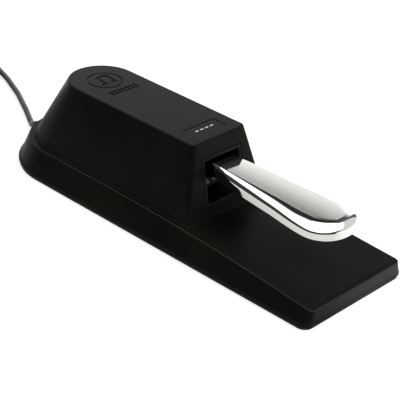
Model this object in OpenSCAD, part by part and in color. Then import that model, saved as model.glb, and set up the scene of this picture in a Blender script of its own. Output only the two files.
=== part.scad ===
// Sustain pedal for a keyboard: a moulded housing with a sprung metal pedal lever,
// a geared position sensor, and a captive cable that ends in a 6.35 mm stereo plug.
// Millimetres. X points to the player's right, Y to the rear, Z up.
// The origin is on the floor, under the middle of the housing.

/* [Housing] */
// Length of the housing, front to rear
base_len = 274; // [262:1:290]
// Width of the housing at its bottom edge
base_w = 90; // [86:1:96]
// Height of the base under the rear of the tower
base_h_rear = 19; // [18:0.5:22]
// Height of the base at its front edge
base_h_front = 12; // [11:0.5:14]
// Height of the tower's flat top above the floor
tower_h = 64; // [63:0.5:70]
// Distance from the front edge of the base to the foot of the tower
tower_set_back = 102; // [98:1:104]
// Width of the level ledge round the foot of the tower
ledge_w = 3.5; // [3:0.1:4]
// Wall thickness of the moulding
wall = 2.5; // [2.2:0.1:2.8]

/* [Underside] */
// Thickness of the rubber mat
mat_t = 2; // [1.5:0.5:2.5]
// Thickness of the steel bottom plate
plate_t = 1.5; // [1.2:0.1:2]

/* [Pedal lever] */
// Greatest width of the lever, near its tip
lever_w = 40; // [36:1:42]
// Width of the lever's neck where it leaves the tower
neck_w = 22; // [20:0.2:22.6]
// Depth of the lever's turned-down edge
lever_depth = 9; // [8:0.5:9.5]
// Gap in plan between the lever's tip and the front edge of the base
tip_set_back = 11; // [8:1:16]
// How far the lever turns when it is pressed, in degrees
lever_travel = 6.5; // [5:0.5:7]

/* [Cable] */
// Diameter of the cable
cable_d = 4; // [3.6:0.2:4.4]
// Turns of spare cable in the coil
coil_turns = 3; // [2:1:3]
// Radius of the coil's outer turn
coil_r = 36; // [36:1:40]

/* [Hidden] */
$fn = 64;
hull_fn = 32;
eps = 0.01;
over = 1;

// Housing
half_w = base_w / 2;
front_y = -base_len / 2;
rear_y = base_len / 2;
case_z = mat_t;
plate_top = mat_t + plate_t;
skirt_in = 7;                                  // how far the skirt leans in over its height
draft = skirt_in / (base_h_rear - case_z);
rear_centre_y = rear_y - half_w;
crown_y = front_y + 176;                       // the base is level behind this line
crown_drop = base_h_rear - base_h_front;
crown_r = ((crown_y - front_y) ^ 2 + crown_drop ^ 2) / (2 * crown_drop);
corner_r = 6;

// Tower: a foot outline on the base and a smaller one on top
foot_sink = 3;                                 // the foot outline lies this far below the base's top
foot_z = base_h_rear - foot_sink;
tower_rise = tower_h - foot_z;
top_in = 12.3;
front_lean = 11.2;
rear_lean = 28.2;
tower_corner_r = 3;
front_slope = front_lean / tower_rise;
foot_front_y = front_y + tower_set_back - foot_sink * front_slope;
foot_half_w = half_w - skirt_in - ledge_w + foot_sink * top_in / tower_rise;
foot_rear_y = rear_y - skirt_in - ledge_w + foot_sink * rear_lean / tower_rise;

// Opening in the tower's front and its bezel
hole_half_w = 17.3;
hole_z0 = 23.5;
hole_z1 = 54.2;
bezel_gap = 0.2;
bezel_rim = 2.2;
bezel_sink = 0.1;
bezel_back_y = foot_front_y + 15;

// Guide buttons in the bezel's side walls
button_r = 1.5;
button_z = 38.4;
button_y = tower_front(button_z) + 2.2;
button_reach = 2;
button_seat = 0.4;

// Label recess and the ring groove on top of the tower
label_w = 28;
label_d = 11;
label_y = -11.7;
label_deep = 0.6;
label_t = 0.35;
label_gap = 0.15;
emblem_y = 76.3;
emblem_r = 11.8;
groove_w = 0.8;
groove_deep = 0.5;

// Pivot and lever
pivot_y = 53;
pivot_z = 37;
shaft_r = 4;
bush_r = 5.25;
bush_clear = 0.05;
flange_r = 7.4;
flange_t = 0.8;
clip_r = 6.4;
clip_t = 0.8;
clip_slot = 4.4;
groove_r = 3.2;
shaft_past = 2.6;                              // the shaft stands this far out of the bracket
lever_top = 50;
lever_drop = 1;                                // fall of the top from the opening to the tip
lever_wall = 2.4;
lever_round = 5;
tip_y = front_y + tip_set_back;
tip_len = 17.8;
tip_power = 2.14;                              // a little squarer than an ellipse, which has 2
wide_y = tip_y + tip_len;
neck_y = -33;
neck_end_y = 0;
arm_half_w = 8.6;
arm_gap = 0.2;
arm_top = lever_top - lever_wall;
arm_bottom = 39;
arm_front_y = -26;
hub_r = 9;
hub_half_w = 12.9;
bush_len = 9;

// Chassis
plate_in = 14;
plate_s = 1.6;
plate_out = plate_in + plate_s;
floor_top = plate_top + plate_s;
chassis_y0 = -19;
chassis_y1 = 72;
stop_y = -12;
rod_r = 2.5;
sleeve_r = 4.5;
sleeve_half_w = 12;
stop_gap = 0.05;
upstop_z = lever_top + stop_gap + sleeve_r;
stop_dy = stop_y - pivot_y;
downstop_z = pivot_z
    + (arm_bottom - pivot_z - sleeve_r - stop_gap + stop_dy * sin(lever_travel)) / cos(lever_travel);

// Sensor gears
gear_module = 1;
sector_teeth = 60;
pinion_teeth = 12;
pressure_angle = 20;
backlash = 0.16;
sector_r = gear_module * sector_teeth / 2;
pinion_r = gear_module * pinion_teeth / 2;
mesh_angle = 6;                                // the pinion sits this far below the level
mesh_dist = sector_r + pinion_r;
pinion_y = pivot_y - mesh_dist * cos(mesh_angle);
pinion_z = pivot_z - mesh_dist * sin(mesh_angle);
gear_x = arm_half_w;
sector_t = 3.2;
pinion_x0 = 8.9;
pinion_x1 = 11.7;
sensor_shaft_r = 3;
sensor_thread_r = 3.5;
notch_w = 0.8;
notch_deep = 0.5;
notch_z = 1.6;                                 // height of the notch above the shaft's middle
sensor_can_r = 8;
sensor_can_end = 23.2;
terminal_ys = [-4, 0, 4];
terminal_x = 20;
terminal_t = 0.5;
terminal_w = 1.8;
terminal_len = 6;
terminal_z = pinion_z - sensor_can_r - terminal_len;

// Spring
spring_y = 15;
spring_mean_r = 7;
spring_wire_r = 1;
spring_turns = 6;
seat_t = 1.5;
seat_r = 9.4;
seat_pin = 5;
seat_top = floor_top + seat_t;

// Fasteners
case_screw_r = 1.75;
case_head_r = 3.2;
case_head_h = 1.7;
hex_r = 1.3;
hex_deep = 0.9;
case_screw_sites = [for (side = [-1, 1]) each [[side * 31, -122], [side * 30, -48], [side * 33.5, 36],
    [side * 25, 114]]];
boss_r = 3.6;
arm_screw_ys = [-20, -3];
arm_screw_r = 2;
sunk_h = 1.8;                                  // height of their countersunk heads
chassis_screw_sites = [[-9, -8], [9, -8], [-9, 68], [9, 68]];
m3_r = 1.5;
m3_clear = 0.15;
m3_head_r = 2.8;
m3_head_h = 1.8;
m3_from_z = mat_t + 0.1;
sector_screw_r = 1.25;
sector_head_r = 2.2;
sector_head_h = 1.4;
sector_screw_sites = [[pivot_y - 15, pivot_z + 5.2], [pivot_y - 21, pivot_z + 5.2]];
clamp_screw_xs = [-7, 7];

// Cable run
cable_r = cable_d / 2;
exit_z = 8;
lie_z = cable_r + 0.4;
cable_start_y = 108;
clamp_y = 113;
turn_gap = 0.6;
turn_pitch = cable_d + turn_gap;
handle_r = 6.5;
handle_len = 40;
plug_r = 3.175;
sleeve_len = 19.5;
ring_len = 4.2;
tip_part_len = 5.8;
insulator_t = 0.5;
plug_depth = 12;                               // the cable runs this far into the handle
collar_r = 4.6;
collar_len = 3;
grommet_r = 3.6;
grommet_flange_r = 4.4;
grommet_flange_t = 1.4;
grommet_in_y = rear_y - 7.4;
grommet_out_y = rear_y + 4;
tie_t = 0.25;
tie_gap = 0.15;
tie_w = 4;

// ---------- shared shapes ----------

// Half the width of the base at height z
function skirt_half(z) = half_w - draft * (z - case_z);

// Where the front of the tower lies at height z
function tower_front(z) = foot_front_y + front_slope * (z - foot_z);

// A cylinder along X from x0 to x1
module x_rod(r, x0, x1, y, z, sides = 64)
    translate([x0, y, z]) rotate([0, 90, 0]) cylinder(r = r, h = x1 - x0, $fn = sides);

// A cylinder along Y from y0 to y1
module y_rod(r, y0, y1, x, z, sides = 64)
    translate([x, y0, z]) rotate([-90, 0, 0]) cylinder(r = r, h = y1 - y0, $fn = sides);

// Plan of the housing: straight sides, small front corners, a half-round rear
module plan(half, y0, y1, r_front) {
    translate([0, y1 - half]) circle(r = half);
    translate([-half, y0 + r_front]) square([2 * half, y1 - half - y0 - r_front]);
    translate([-half + r_front, y0]) square([2 * (half - r_front), r_front + eps]);
    for (side = [-1, 1]) translate([side * (half - r_front), y0 + r_front]) circle(r = r_front);
}

// Half of the base's cross-section, for the walls inset by t
module skirt_section(t, z0, z1)
    polygon([[0, z0], [skirt_half(z0) - t, z0], [skirt_half(z1) - t, z1], [0, z1]]);

// The base as a block between z0 and z1, its sides and rear drafted, inset by t
module base_block(t, z0, z1) {
    translate([0, rear_centre_y, 0]) rotate_extrude(angle = 180) skirt_section(t, z0, z1);
    translate([0, rear_centre_y, 0]) rotate([90, 0, 0])
        linear_extrude(rear_centre_y - front_y - t) {
            skirt_section(t, z0, z1);
            mirror([1, 0]) skirt_section(t, z0, z1);
        }
}

// Side view under the crowned top of the base, lowered by drop, extruded across the housing
module under_crown(drop)
    rotate([90, 0, 90]) translate([0, 0, -base_w]) linear_extrude(2 * base_w) {
        translate([crown_y, 0]) square([base_len, base_h_rear - drop]);
        intersection() {
            translate([crown_y, base_h_rear - drop - crown_r]) circle(r = crown_r, $fn = 360);
            translate([-base_len, 0]) square([base_len + crown_y, base_h_rear]);
        }
    }

// Outline of the tower at height z, inset by t
module tower_slice(t, z) {
    up = (z - foot_z) / tower_rise;
    half = foot_half_w - top_in * up - t;
    translate([0, 0, z]) linear_extrude(eps)
        plan(half, foot_front_y + front_lean * up + t, foot_rear_y - rear_lean * up - t,
            tower_corner_r, $fn = hull_fn);
}

module tower_block(t, z0, z1)
    hull() {
        tower_slice(t, z0);
        tower_slice(t, z1 - eps);
    }

// Involute gear outline with backlash shared by both sides of each tooth
function involute(rb, a) = rb * [cos(a) + a * PI / 180 * sin(a), sin(a) - a * PI / 180 * cos(a)];
function involute_angle(rb, r) = r <= rb ? 0 : sqrt((r / rb) ^ 2 - 1) * 180 / PI;
function turned(p, a) = [p[0] * cos(a) - p[1] * sin(a), p[0] * sin(a) + p[1] * cos(a)];
steps = 5;
function flank(rb, r0, r1) = [for (i = [0 : steps])
    involute(rb, involute_angle(rb, r0 + (r1 - r0) * i / steps))];
function tooth_half(rp) = 90 * gear_module / (2 * rp) - backlash * 45 / (PI * rp) * 2
    + (tan(pressure_angle) * 180 / PI - pressure_angle);
module tooth(rp, root_r, tip_r) {
    rb = rp * cos(pressure_angle);
    side = flank(rb, max(rb, root_r), tip_r);
    half = tooth_half(rp);
    right = [for (p = side) turned(p, -half)];
    left = [for (i = [steps : -1 : 0]) [right[i][0], -right[i][1]]];
    foot = turned([root_r - 0.4, 0], -half);
    polygon(concat([foot], right, left, [[foot[0], -foot[1]]]));
}

// ---------- housing ----------

module case_bosses(r)
    for (site = case_screw_sites) translate([site[0], site[1], plate_top]) cylinder(r = r, h = base_h_rear);

module upper_case() color("#22201e") difference() {
    union() {
        difference() {
            intersection() {
                union() {
                    intersection() {
                        base_block(0, case_z, base_h_rear);
                        under_crown(0);
                    }
                    tower_block(0, foot_z, tower_h);
                }
                linear_extrude(tower_h + over) plan(half_w, front_y, rear_y, corner_r);
            }
            intersection() {
                base_block(wall, case_z - eps, base_h_rear - wall);
                under_crown(wall);
            }
            tower_block(wall, foot_z - wall, tower_h - wall);
        }
        intersection() {
            case_bosses(boss_r);
            under_crown(wall / 2);
        }
    }
    for (site = case_screw_sites) translate([site[0], site[1], case_z])
        cylinder(r = case_screw_r, h = case_screw_grip(site[1]));
    translate([-hole_half_w, foot_front_y - over, hole_z0])
        cube([2 * hole_half_w, 20, hole_z1 - hole_z0]);
    y_rod(grommet_r, rear_y - 12, rear_y + over, 0, exit_z);
    label_recess();
    ring_groove();
}

function case_screw_grip(y) = y < foot_front_y ? base_h_front - 5 : base_h_rear - 6;

module label_recess()
    translate([-label_w / 2, label_y - label_d / 2, tower_h - label_deep]) cube([label_w, label_d, over]);

module ring_groove()
    translate([0, emblem_y, tower_h - groove_deep]) difference() {
        cylinder(r = emblem_r, h = over);
        translate([0, 0, -over]) cylinder(r = emblem_r - groove_w, h = 3 * over);
    }

module label_plate() color("#2b2927")
    translate([-label_w / 2 + label_gap, label_y - label_d / 2 + label_gap, tower_h - label_deep])
        cube([label_w - 2 * label_gap, label_d - 2 * label_gap, label_t]);

// Everything ahead of the bezel's leaning front
module bezel_front()
    translate([0, foot_front_y + bezel_sink, foot_z]) rotate([-atan(front_slope), 0, 0])
        translate([-base_w, -base_w, -base_w / 2]) cube([2 * base_w, base_w, 2 * base_w]);

module opening_bezel() color("#1b1a19") difference() {
    outer_half = hole_half_w - bezel_gap;
    inner_half = outer_half - bezel_rim;
    z0 = hole_z0 + bezel_gap;
    z1 = hole_z1 - bezel_gap;
    translate([-outer_half, foot_front_y - over, z0])
        cube([2 * outer_half, bezel_back_y - foot_front_y + over, z1 - z0]);
    translate([-inner_half, foot_front_y - 2 * over, z0 + bezel_rim])
        cube([2 * inner_half, base_w, z1 - z0 - 2 * bezel_rim]);
    bezel_front();
    x_rod(button_r, -base_w, base_w, button_y, button_z);
}

module guide_button() {
    x0 = hole_half_w - bezel_gap - bezel_rim;
    x_rod(button_r, x0 - button_reach, x0 + bezel_rim - button_seat, button_y, button_z);
    translate([x0 - button_reach, button_y, button_z]) sphere(r = button_r);
}
module guide_buttons() color("#b9b7b0") {
    guide_button();
    mirror([1, 0, 0]) guide_button();
}

module bottom_plate() color("#8d8f90") difference() {
    gap = 0.3;
    half = skirt_half(plate_top) - wall - gap;
    translate([0, 0, mat_t]) linear_extrude(plate_t)
        plan(half, front_y + wall + gap, rear_centre_y + half, corner_r - wall);
    for (site = case_screw_sites) translate([site[0], site[1], 0])
        cylinder(r = case_screw_r + 0.25, h = base_h_rear);
    for (site = chassis_screw_sites) translate([site[0], site[1], 0]) cylinder(r = m3_r, h = base_h_rear);
    for (x = clamp_screw_xs) translate([x, clamp_y, 0]) cylinder(r = m3_r, h = base_h_rear);
}

mat_hole_r = 4.2;
mat_inset = 0.6;
module rubber_mat() color("#151515") difference() {
    linear_extrude(mat_t) plan(half_w - mat_inset, front_y + mat_inset, rear_y - mat_inset, corner_r);
    for (site = case_screw_sites) translate([site[0], site[1], -over])
        cylinder(r = mat_hole_r, h = mat_t + 2 * over);
}

module case_screws() color("#55585a") for (site = case_screw_sites) translate([site[0], site[1], 0]) {
    translate([0, 0, mat_t - case_head_h]) difference() {
        cylinder(r = case_head_r, h = case_head_h);
        translate([0, 0, -over]) cylinder(r = hex_r, h = over + hex_deep, $fn = 6);
    }
    translate([0, 0, mat_t - eps]) cylinder(r = case_screw_r, h = case_screw_grip(site[1]) - 0.5);
}

// ---------- chassis and pivot ----------

module chassis_side() polygon([[chassis_y0, plate_top], [chassis_y1, plate_top], [chassis_y1, 30], [60, 50],
    [46, 50], [2, 60], [chassis_y0, 60]]);

module chassis_bracket() color("#3a3c3e") difference() {
    union() {
        for (x = [-plate_out, plate_in]) translate([x, 0, 0]) rotate([90, 0, 90])
            linear_extrude(plate_s) chassis_side();
        translate([-plate_out, chassis_y0, plate_top])
            cube([2 * plate_out, chassis_y1 - chassis_y0, plate_s]);
    }
    x_rod(shaft_r, -base_w, base_w, pivot_y, pivot_z);
    x_rod(rod_r, -base_w, base_w, stop_y, upstop_z);
    x_rod(rod_r, -base_w, base_w, stop_y, downstop_z);
    x_rod(sensor_thread_r, 0, base_w, pinion_y, pinion_z);
    for (site = chassis_screw_sites) translate([site[0], site[1], 0])
        cylinder(r = m3_r + m3_clear, h = base_h_rear);
}

// A screw that comes up from the bottom plate, with its head at the top
module m3_screw(head_z) {
    translate([0, 0, m3_from_z]) cylinder(r = m3_r, h = head_z - m3_from_z + eps);
    translate([0, 0, head_z]) cylinder(r = m3_head_r, h = m3_head_h);
}
module chassis_screws() color("#9a9c9d") for (site = chassis_screw_sites)
    translate([site[0], site[1], 0]) m3_screw(floor_top);

clip_x = plate_out + 0.1;
module pivot_shaft() color("#b4b6b8") difference() {
    x_rod(shaft_r, -plate_out - shaft_past, plate_out + shaft_past, pivot_y, pivot_z);
    for (side = [-1, 1]) difference() {
        x0 = side > 0 ? clip_x : -clip_x - clip_t;
        x_rod(shaft_r + over, x0, x0 + clip_t, pivot_y, pivot_z);
        x_rod(groove_r, x0 - over, x0 + clip_t + over, pivot_y, pivot_z);
    }
}

module shaft_clip(x0) difference() {
    x_rod(clip_r, x0, x0 + clip_t, pivot_y, pivot_z);
    x_rod(groove_r, x0 - over, x0 + clip_t + over, pivot_y, pivot_z);
    translate([x0 - over, pivot_y - clip_slot / 2, pivot_z - 2 * clip_r])
        cube([clip_t + 2 * over, clip_slot, 2 * clip_r]);
}
module shaft_clips() color("#303234") {
    shaft_clip(clip_x);
    shaft_clip(-clip_x - clip_t);
}

module bushing() difference() {
    union() {
        x_rod(bush_r, hub_half_w - bush_len, hub_half_w, pivot_y, pivot_z);
        x_rod(flange_r, hub_half_w, hub_half_w + flange_t, pivot_y, pivot_z);
    }
    x_rod(shaft_r + bush_clear, 0, base_w, pivot_y, pivot_z);
}
module left_bushing() color("#e6e1d2") mirror([1, 0, 0]) bushing();
module right_bushing() color("#e6e1d2") bushing();

// ---------- pedal lever ----------

// Half the lever's width at distance y, with its wall inset by t
function lever_half(y, t) = neck_w / 2 + (lever_w - neck_w) / 2 * (neck_y - y) / (neck_y - wide_y) - t;
tip_steps = 20;
function rounded(v) = sign(v) * abs(v) ^ (2 / tip_power);
function tip_curve(t) = [for (i = [0 : tip_steps]) let (a = 180 + 180 * i / tip_steps)
    [(lever_w / 2 - t) * rounded(cos(a)), wide_y + (tip_len - t) * rounded(sin(a))]];
function lever_plan(t) = concat([[-lever_half(neck_y, t), neck_y]], tip_curve(t),
    [[lever_half(neck_y, t), neck_y]]);

// The lever's plan, inset by t and drop below its gently sloping top
lever_slope = lever_drop / (neck_y - tip_y);
function lever_ring(drop, t) = [for (p = lever_plan(t))
    [p[0], p[1], lever_top + lever_slope * (p[1] - neck_y) - drop]];

// A solid through rings of the same number of points, lowest first
module loft(rings) {
    n = len(rings[0]);
    last = len(rings) - 1;
    walls = [for (j = [0 : last - 1]) for (i = [0 : n - 1]) let (k = (i + 1) % n)
        each [[j * n + i, (j + 1) * n + i, (j + 1) * n + k], [j * n + i, (j + 1) * n + k, j * n + k]]];
    low = [[for (i = [0 : n - 1]) i]];
    high = [[for (i = [n - 1 : -1 : 0]) last * n + i]];
    polyhedron([for (r = rings) each r], concat(walls, low, high), convexity = 6);
}

module lever_blade() loft(concat([lever_ring(lever_depth, 0)],
    [for (a = [0 : 22.5 : 90]) lever_ring(lever_round * (1 - sin(a)), lever_round * (1 - cos(a)))]));

hollow_corner = 2;
module lever_hollow() loft([lever_ring(lever_depth + over, lever_wall),
    lever_ring(lever_wall + hollow_corner, lever_wall), lever_ring(lever_wall, lever_wall + hollow_corner)]);

// The neck: a channel with rounded upper edges that wraps the arm
neck_round = 3;
module neck_section() {
    half = neck_w / 2;
    flat = half - neck_round;
    translate([-half, lever_top - lever_depth]) square([neck_w, lever_depth - neck_round]);
    translate([-flat, lever_top - lever_depth]) square([2 * flat, lever_depth]);
    for (x = [-flat, flat]) translate([x, lever_top - neck_round]) circle(r = neck_round);
}

module pedal_lever() color("#c9cbce") difference() {
    union() {
        lever_blade();
        translate([0, neck_end_y, 0]) rotate([90, 0, 0]) linear_extrude(neck_end_y - neck_y + 0.5)
            neck_section();
    }
    lever_hollow();
    translate([-arm_half_w - arm_gap, neck_y - 1.5, 0])
        cube([2 * (arm_half_w + arm_gap), neck_end_y - neck_y + 4, arm_top]);
    for (y = arm_screw_ys) arm_screw(y);
}

// Countersunk screw that joins the lever to its arm
module arm_screw(y) translate([0, y, 0]) {
    translate([0, 0, lever_top - sunk_h]) cylinder(r1 = arm_screw_r, r2 = arm_screw_r + sunk_h, h = sunk_h);
    translate([0, 0, arm_bottom + 0.5]) cylinder(r = arm_screw_r, h = lever_top - arm_bottom - sunk_h - 0.2);
}
module lever_screws() color("#8f9193") for (y = arm_screw_ys) arm_screw(y);

module lever_arm() color("#7d8082") difference() {
    union() {
        translate([-arm_half_w, 0, 0]) rotate([90, 0, 90]) linear_extrude(2 * arm_half_w)
            polygon([[arm_front_y, arm_bottom], [27, arm_bottom], [pivot_y - 4, pivot_z - hub_r + 0.9],
                [pivot_y + 2, pivot_z + hub_r - 0.5], [24, arm_top], [arm_front_y, arm_top]]);
        x_rod(hub_r, -hub_half_w, hub_half_w, pivot_y, pivot_z);
    }
    x_rod(bush_r, -base_w, base_w, pivot_y, pivot_z);
    for (y = arm_screw_ys) arm_screw(y);
    for (site = sector_screw_sites) x_rod(sector_screw_r, 0, base_w, site[0], site[1]);
}

// ---------- position sensor ----------

sector_half_span = 13.6;                       // half the sector's width beyond its teeth
sector_root = sector_r - 1.3 * gear_module;
module sector_outline() {
    half_teeth = 2;
    for (i = [-half_teeth - 1 : half_teeth + 1])
        rotate(i * 360 / sector_teeth) tooth(sector_r, sector_root, sector_r + 0.62 * gear_module);
    intersection() {
        circle(r = sector_root, $fn = 180);
        polygon([[0, -hub_r], [0, hub_r], [sector_r + hub_r, sector_half_span],
            [sector_r + hub_r, -sector_half_span]]);
    }
    circle(r = hub_r + 3);
}

// Moves a flat gear outline into place: its zero direction points from the pivot to the pinion
module gear_at(x, y, z, t, turn)
    translate([x, y, z]) rotate([90, 0, 90]) rotate(turn) linear_extrude(t) children();

module sector_gear() color("#e9e4d4") difference() {
    gear_at(gear_x, pivot_y, pivot_z, sector_t, 180 + mesh_angle) sector_outline();
    x_rod(hub_r + 0.1, 0, base_w, pivot_y, pivot_z);
    for (site = sector_screw_sites) x_rod(sector_screw_r, 0, base_w, site[0], site[1]);
}

module sector_screws() color("#9a9c9d") for (site = sector_screw_sites) {
    x_rod(sector_screw_r, gear_x - 5, gear_x + sector_t, site[0], site[1]);
    x_rod(sector_head_r, gear_x + sector_t, gear_x + sector_t + sector_head_h, site[0], site[1]);
}

module sensor_pinion() color("#e9e4d4") difference() {
    gear_at(pinion_x0, pinion_y, pinion_z, pinion_x1 - pinion_x0, mesh_angle + 180 / pinion_teeth) {
        for (i = [0 : pinion_teeth - 1])
            rotate(i * 360 / pinion_teeth) tooth(pinion_r, pinion_r - 1.25, pinion_r + 0.9);
        circle(r = pinion_r - 1.25);
    }
    x_rod(sensor_shaft_r, 0, base_w, pinion_y, pinion_z);
}

module sensor_shaft() color("#a9abad") difference() {
    x_rod(sensor_shaft_r, pinion_x0, sensor_can_end - 2, pinion_y, pinion_z);
    translate([pinion_x0 - over, pinion_y - notch_w / 2, pinion_z + notch_z])
        cube([over + notch_deep, notch_w, sensor_shaft_r]);
}

module sensor_body() color("#4a4238") difference() {
    union() {
        x_rod(sensor_can_r, plate_out, sensor_can_end, pinion_y, pinion_z);
        x_rod(sensor_thread_r, 11.9, plate_out + over, pinion_y, pinion_z);
        translate([terminal_x - 1.5, pinion_y - 6, pinion_z - sensor_can_r - 2]) cube([3, 12, 5]);
    }
    x_rod(sensor_shaft_r + bush_clear, 0, sensor_can_end - 1.5, pinion_y, pinion_z);
    for (y = terminal_ys) translate([0, y, 0]) terminal();
}

module terminal() translate([terminal_x - terminal_t / 2, pinion_y - terminal_w / 2, terminal_z])
    cube([terminal_t, terminal_w, terminal_len]);
module sensor_terminals() color("#c8b560") for (y = terminal_ys) translate([0, y, 0]) terminal();

module sensor_washer() color("#b4b6b8") difference() {
    x_rod(5.5, 13.6, plate_in, pinion_y, pinion_z);
    x_rod(sensor_thread_r, 0, base_w, pinion_y, pinion_z);
}
module sensor_nut() color("#b9a55c") difference() {
    x_rod(5.2, 12.1, 13.6, pinion_y, pinion_z, 6);
    x_rod(sensor_thread_r, 0, base_w, pinion_y, pinion_z);
}

// ---------- spring and stops ----------

// A round tube along a list of points: one ring of corners for each point
function unit(v) = v / norm(v);
function ring(p, d, r, sides) =
    let (s = unit(cross(d, abs(d[2]) > 0.9 ? [1, 0, 0] : [0, 0, 1])), u = cross(s, d))
    [for (i = [0 : sides - 1]) p + r * (cos(360 * i / sides) * s + sin(360 * i / sides) * u)];
module tube(path, r, sides) {
    last = len(path) - 1;
    dirs = [for (i = [0 : last]) unit(path[min(i + 1, last)] - path[max(i - 1, 0)])];
    points = [for (i = [0 : last]) each ring(path[i], dirs[i], r, sides)];
    walls = [for (i = [0 : last - 1]) for (k = [0 : sides - 1]) let (n = (k + 1) % sides)
        each [[i * sides + k, i * sides + n, (i + 1) * sides + n],
            [i * sides + k, (i + 1) * sides + n, (i + 1) * sides + k]]];
    near_end = [[for (k = [sides - 1 : -1 : 0]) k]];
    far_end = [[for (k = [0 : sides - 1]) last * sides + k]];
    polyhedron(points, concat(walls, near_end, far_end), convexity = 10);
}

spring_z0 = seat_top + spring_wire_r + 0.05;
spring_z1 = arm_bottom - spring_wire_r - 0.05;
spring_rise = spring_z1 - spring_z0;
// Closed end turns lie nearly flat, so the height eases in and out over the first and last turn
function spring_ease(t) = (t < 1 ? 0.09 * t ^ 2 : t > spring_turns - 1 ? 1 - 0.09 * (spring_turns - t) ^ 2
    : 0.09 + 0.82 * (t - 1) / (spring_turns - 2));
module return_spring() color("#a7a9ac") {
    per_turn = 20;
    path = [for (i = [0 : spring_turns * per_turn]) let (t = i / per_turn)
        [spring_mean_r * cos(360 * t), spring_y + spring_mean_r * sin(360 * t),
            spring_z0 + spring_rise * spring_ease(t)]];
    tube(path, spring_wire_r, 8);
}

module spring_seat() color("#dcd8cc") translate([0, spring_y, floor_top]) {
    cylinder(r = seat_r, h = seat_t);
    cylinder(r = spring_mean_r - spring_wire_r - 0.3, h = seat_t + seat_pin);
}

module stop_rod(z) x_rod(rod_r, -plate_out - 1, plate_out + 1, stop_y, z);
module stop_sleeve(z) difference() {
    x_rod(sleeve_r, -sleeve_half_w, sleeve_half_w, stop_y, z);
    x_rod(rod_r, -base_w, base_w, stop_y, z);
}
module upstop_rod() color("#b4b6b8") stop_rod(upstop_z);
module upstop_sleeve() color("#5a5a58") stop_sleeve(upstop_z);
module downstop_rod() color("#b4b6b8") stop_rod(downstop_z);
module downstop_sleeve() color("#5a5a58") stop_sleeve(downstop_z);

// ---------- wiring ----------

// Each lead drops from its terminal, crosses the floor beside the chassis and meets the cable's end
wire_r = 0.6;
function bezier(a, b, c, d, t) =
    (1 - t) ^ 3 * a + 3 * (1 - t) ^ 2 * t * b + 3 * (1 - t) * t ^ 2 * c + t ^ 3 * d;
module lead_wires() for (k = [0 : 2]) {
    start = [terminal_x, pinion_y + terminal_ys[k], terminal_z - wire_r - 0.1];
    mid = [22, 50, 7 + 1.6 * k];
    finish = [0, cable_start_y - 0.1, exit_z + 1.3 * (k - 1)];
    path = concat(
        [for (i = [0 : 9]) bezier(start, start + [0, 0, -9], mid - [0, 20, 0], mid, i / 10)],
        [for (i = [0 : 14]) bezier(mid, mid + [0, 34, 0], finish - [0, 22, 0], finish, i / 14)]);
    color(["#a02020", "#e8e8e8", "#202020"][k]) tube(path, wire_r, 6);
}

clamp_top = exit_z + cable_r + 1.8;
module cord_clamp() color("#202022") difference() {
    translate([-10.5, clamp_y - 4, plate_top]) cube([21, 8, clamp_top - plate_top]);
    y_rod(cable_r, clamp_y - 5, clamp_y + 5, 0, exit_z);
    for (x = clamp_screw_xs) translate([x, clamp_y, 0]) cylinder(r = m3_r, h = 30);
}
module clamp_screws() color("#9a9c9d") for (x = clamp_screw_xs)
    translate([x, clamp_y, 0]) m3_screw(clamp_top);

module cord_grommet() color("#191919") difference() {
    union() {
        y_rod(grommet_r, grommet_in_y, rear_y - 2, 0, exit_z);
        y_rod(grommet_flange_r, grommet_in_y - grommet_flange_t, grommet_in_y, 0, exit_z);
        translate([0, rear_y - 2, exit_z]) rotate([-90, 0, 0])
            cylinder(r1 = grommet_r, r2 = cable_r + 0.7, h = grommet_out_y - rear_y + 2);
    }
    y_rod(cable_r, 0, rear_y + 50, 0, exit_z);
}

turn_step = 9;                                 // degrees of a turn between two points of the cable's line

// The cable's middle line, step by step. A heading is the angle to the left of straight back.
// Steps: ["go", length], ["turn", radius, angle to the left], ["rise", height, length].
function heading(h) = [-sin(h), cos(h), 0];
function side_of(h) = [-cos(h), -sin(h), 0];
function smooth(t) = 3 * t ^ 2 - 2 * t ^ 3;
function along(step, p, h, t) =
    step[0] == "go" ? p + t * step[1] * heading(h) :
    step[0] == "rise" ? p + t * step[2] * heading(h) + [0, 0, step[1] * smooth(t)] :
    p + sign(step[2]) * step[1] * (side_of(h) - side_of(h + t * step[2]));
function heading_after(step, h) = step[0] == "turn" ? h + step[2] : h;
function pieces(step) = step[0] == "go" ? 1 : step[0] == "rise" ? 7 : ceil(abs(step[2]) / turn_step);
function run(steps, p, h, i = 0) = i == len(steps) ? [p] : concat(
    [for (k = [0 : pieces(steps[i]) - 1]) along(steps[i], p, h, k / pieces(steps[i]))],
    run(steps, along(steps[i], p, h, 1), heading_after(steps[i], h), i + 1));

turn_out = 30;
turn_back = 14;
to_coil = [["go", rear_y + 6 - cable_start_y], ["turn", 14, -turn_out], ["rise", lie_z - exit_z, 18],
    ["go", 8], ["turn", 330, turn_back]];
coil_heading = turn_back - turn_out;
half_pitch = turn_pitch / 2;
half_turns = 2 * coil_turns;
coil = [for (i = [0 : half_turns - 1]) ["turn", coil_r - i * half_pitch, 180]];
hop = cable_d + 0.5;
hop_len = 14;
cross_r = 9;
loop_r = 21;
to_plug = [["turn", coil_r - half_turns * half_pitch, 90 - coil_heading], ["turn", cross_r, 90],
    ["rise", hop, hop_len], ["go", coil_r + 3], ["rise", -hop, hop_len], ["go", 1],
    ["turn", loop_r, -180], ["rise", handle_r - lie_z, 12], ["go", 14]];
cable_start = [0, cable_start_y, exit_z];
cable_path = run(concat(to_coil, coil, to_plug), cable_start, 0);
module cable() color("#161616") tube(cable_path, cable_r, 10);

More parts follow.
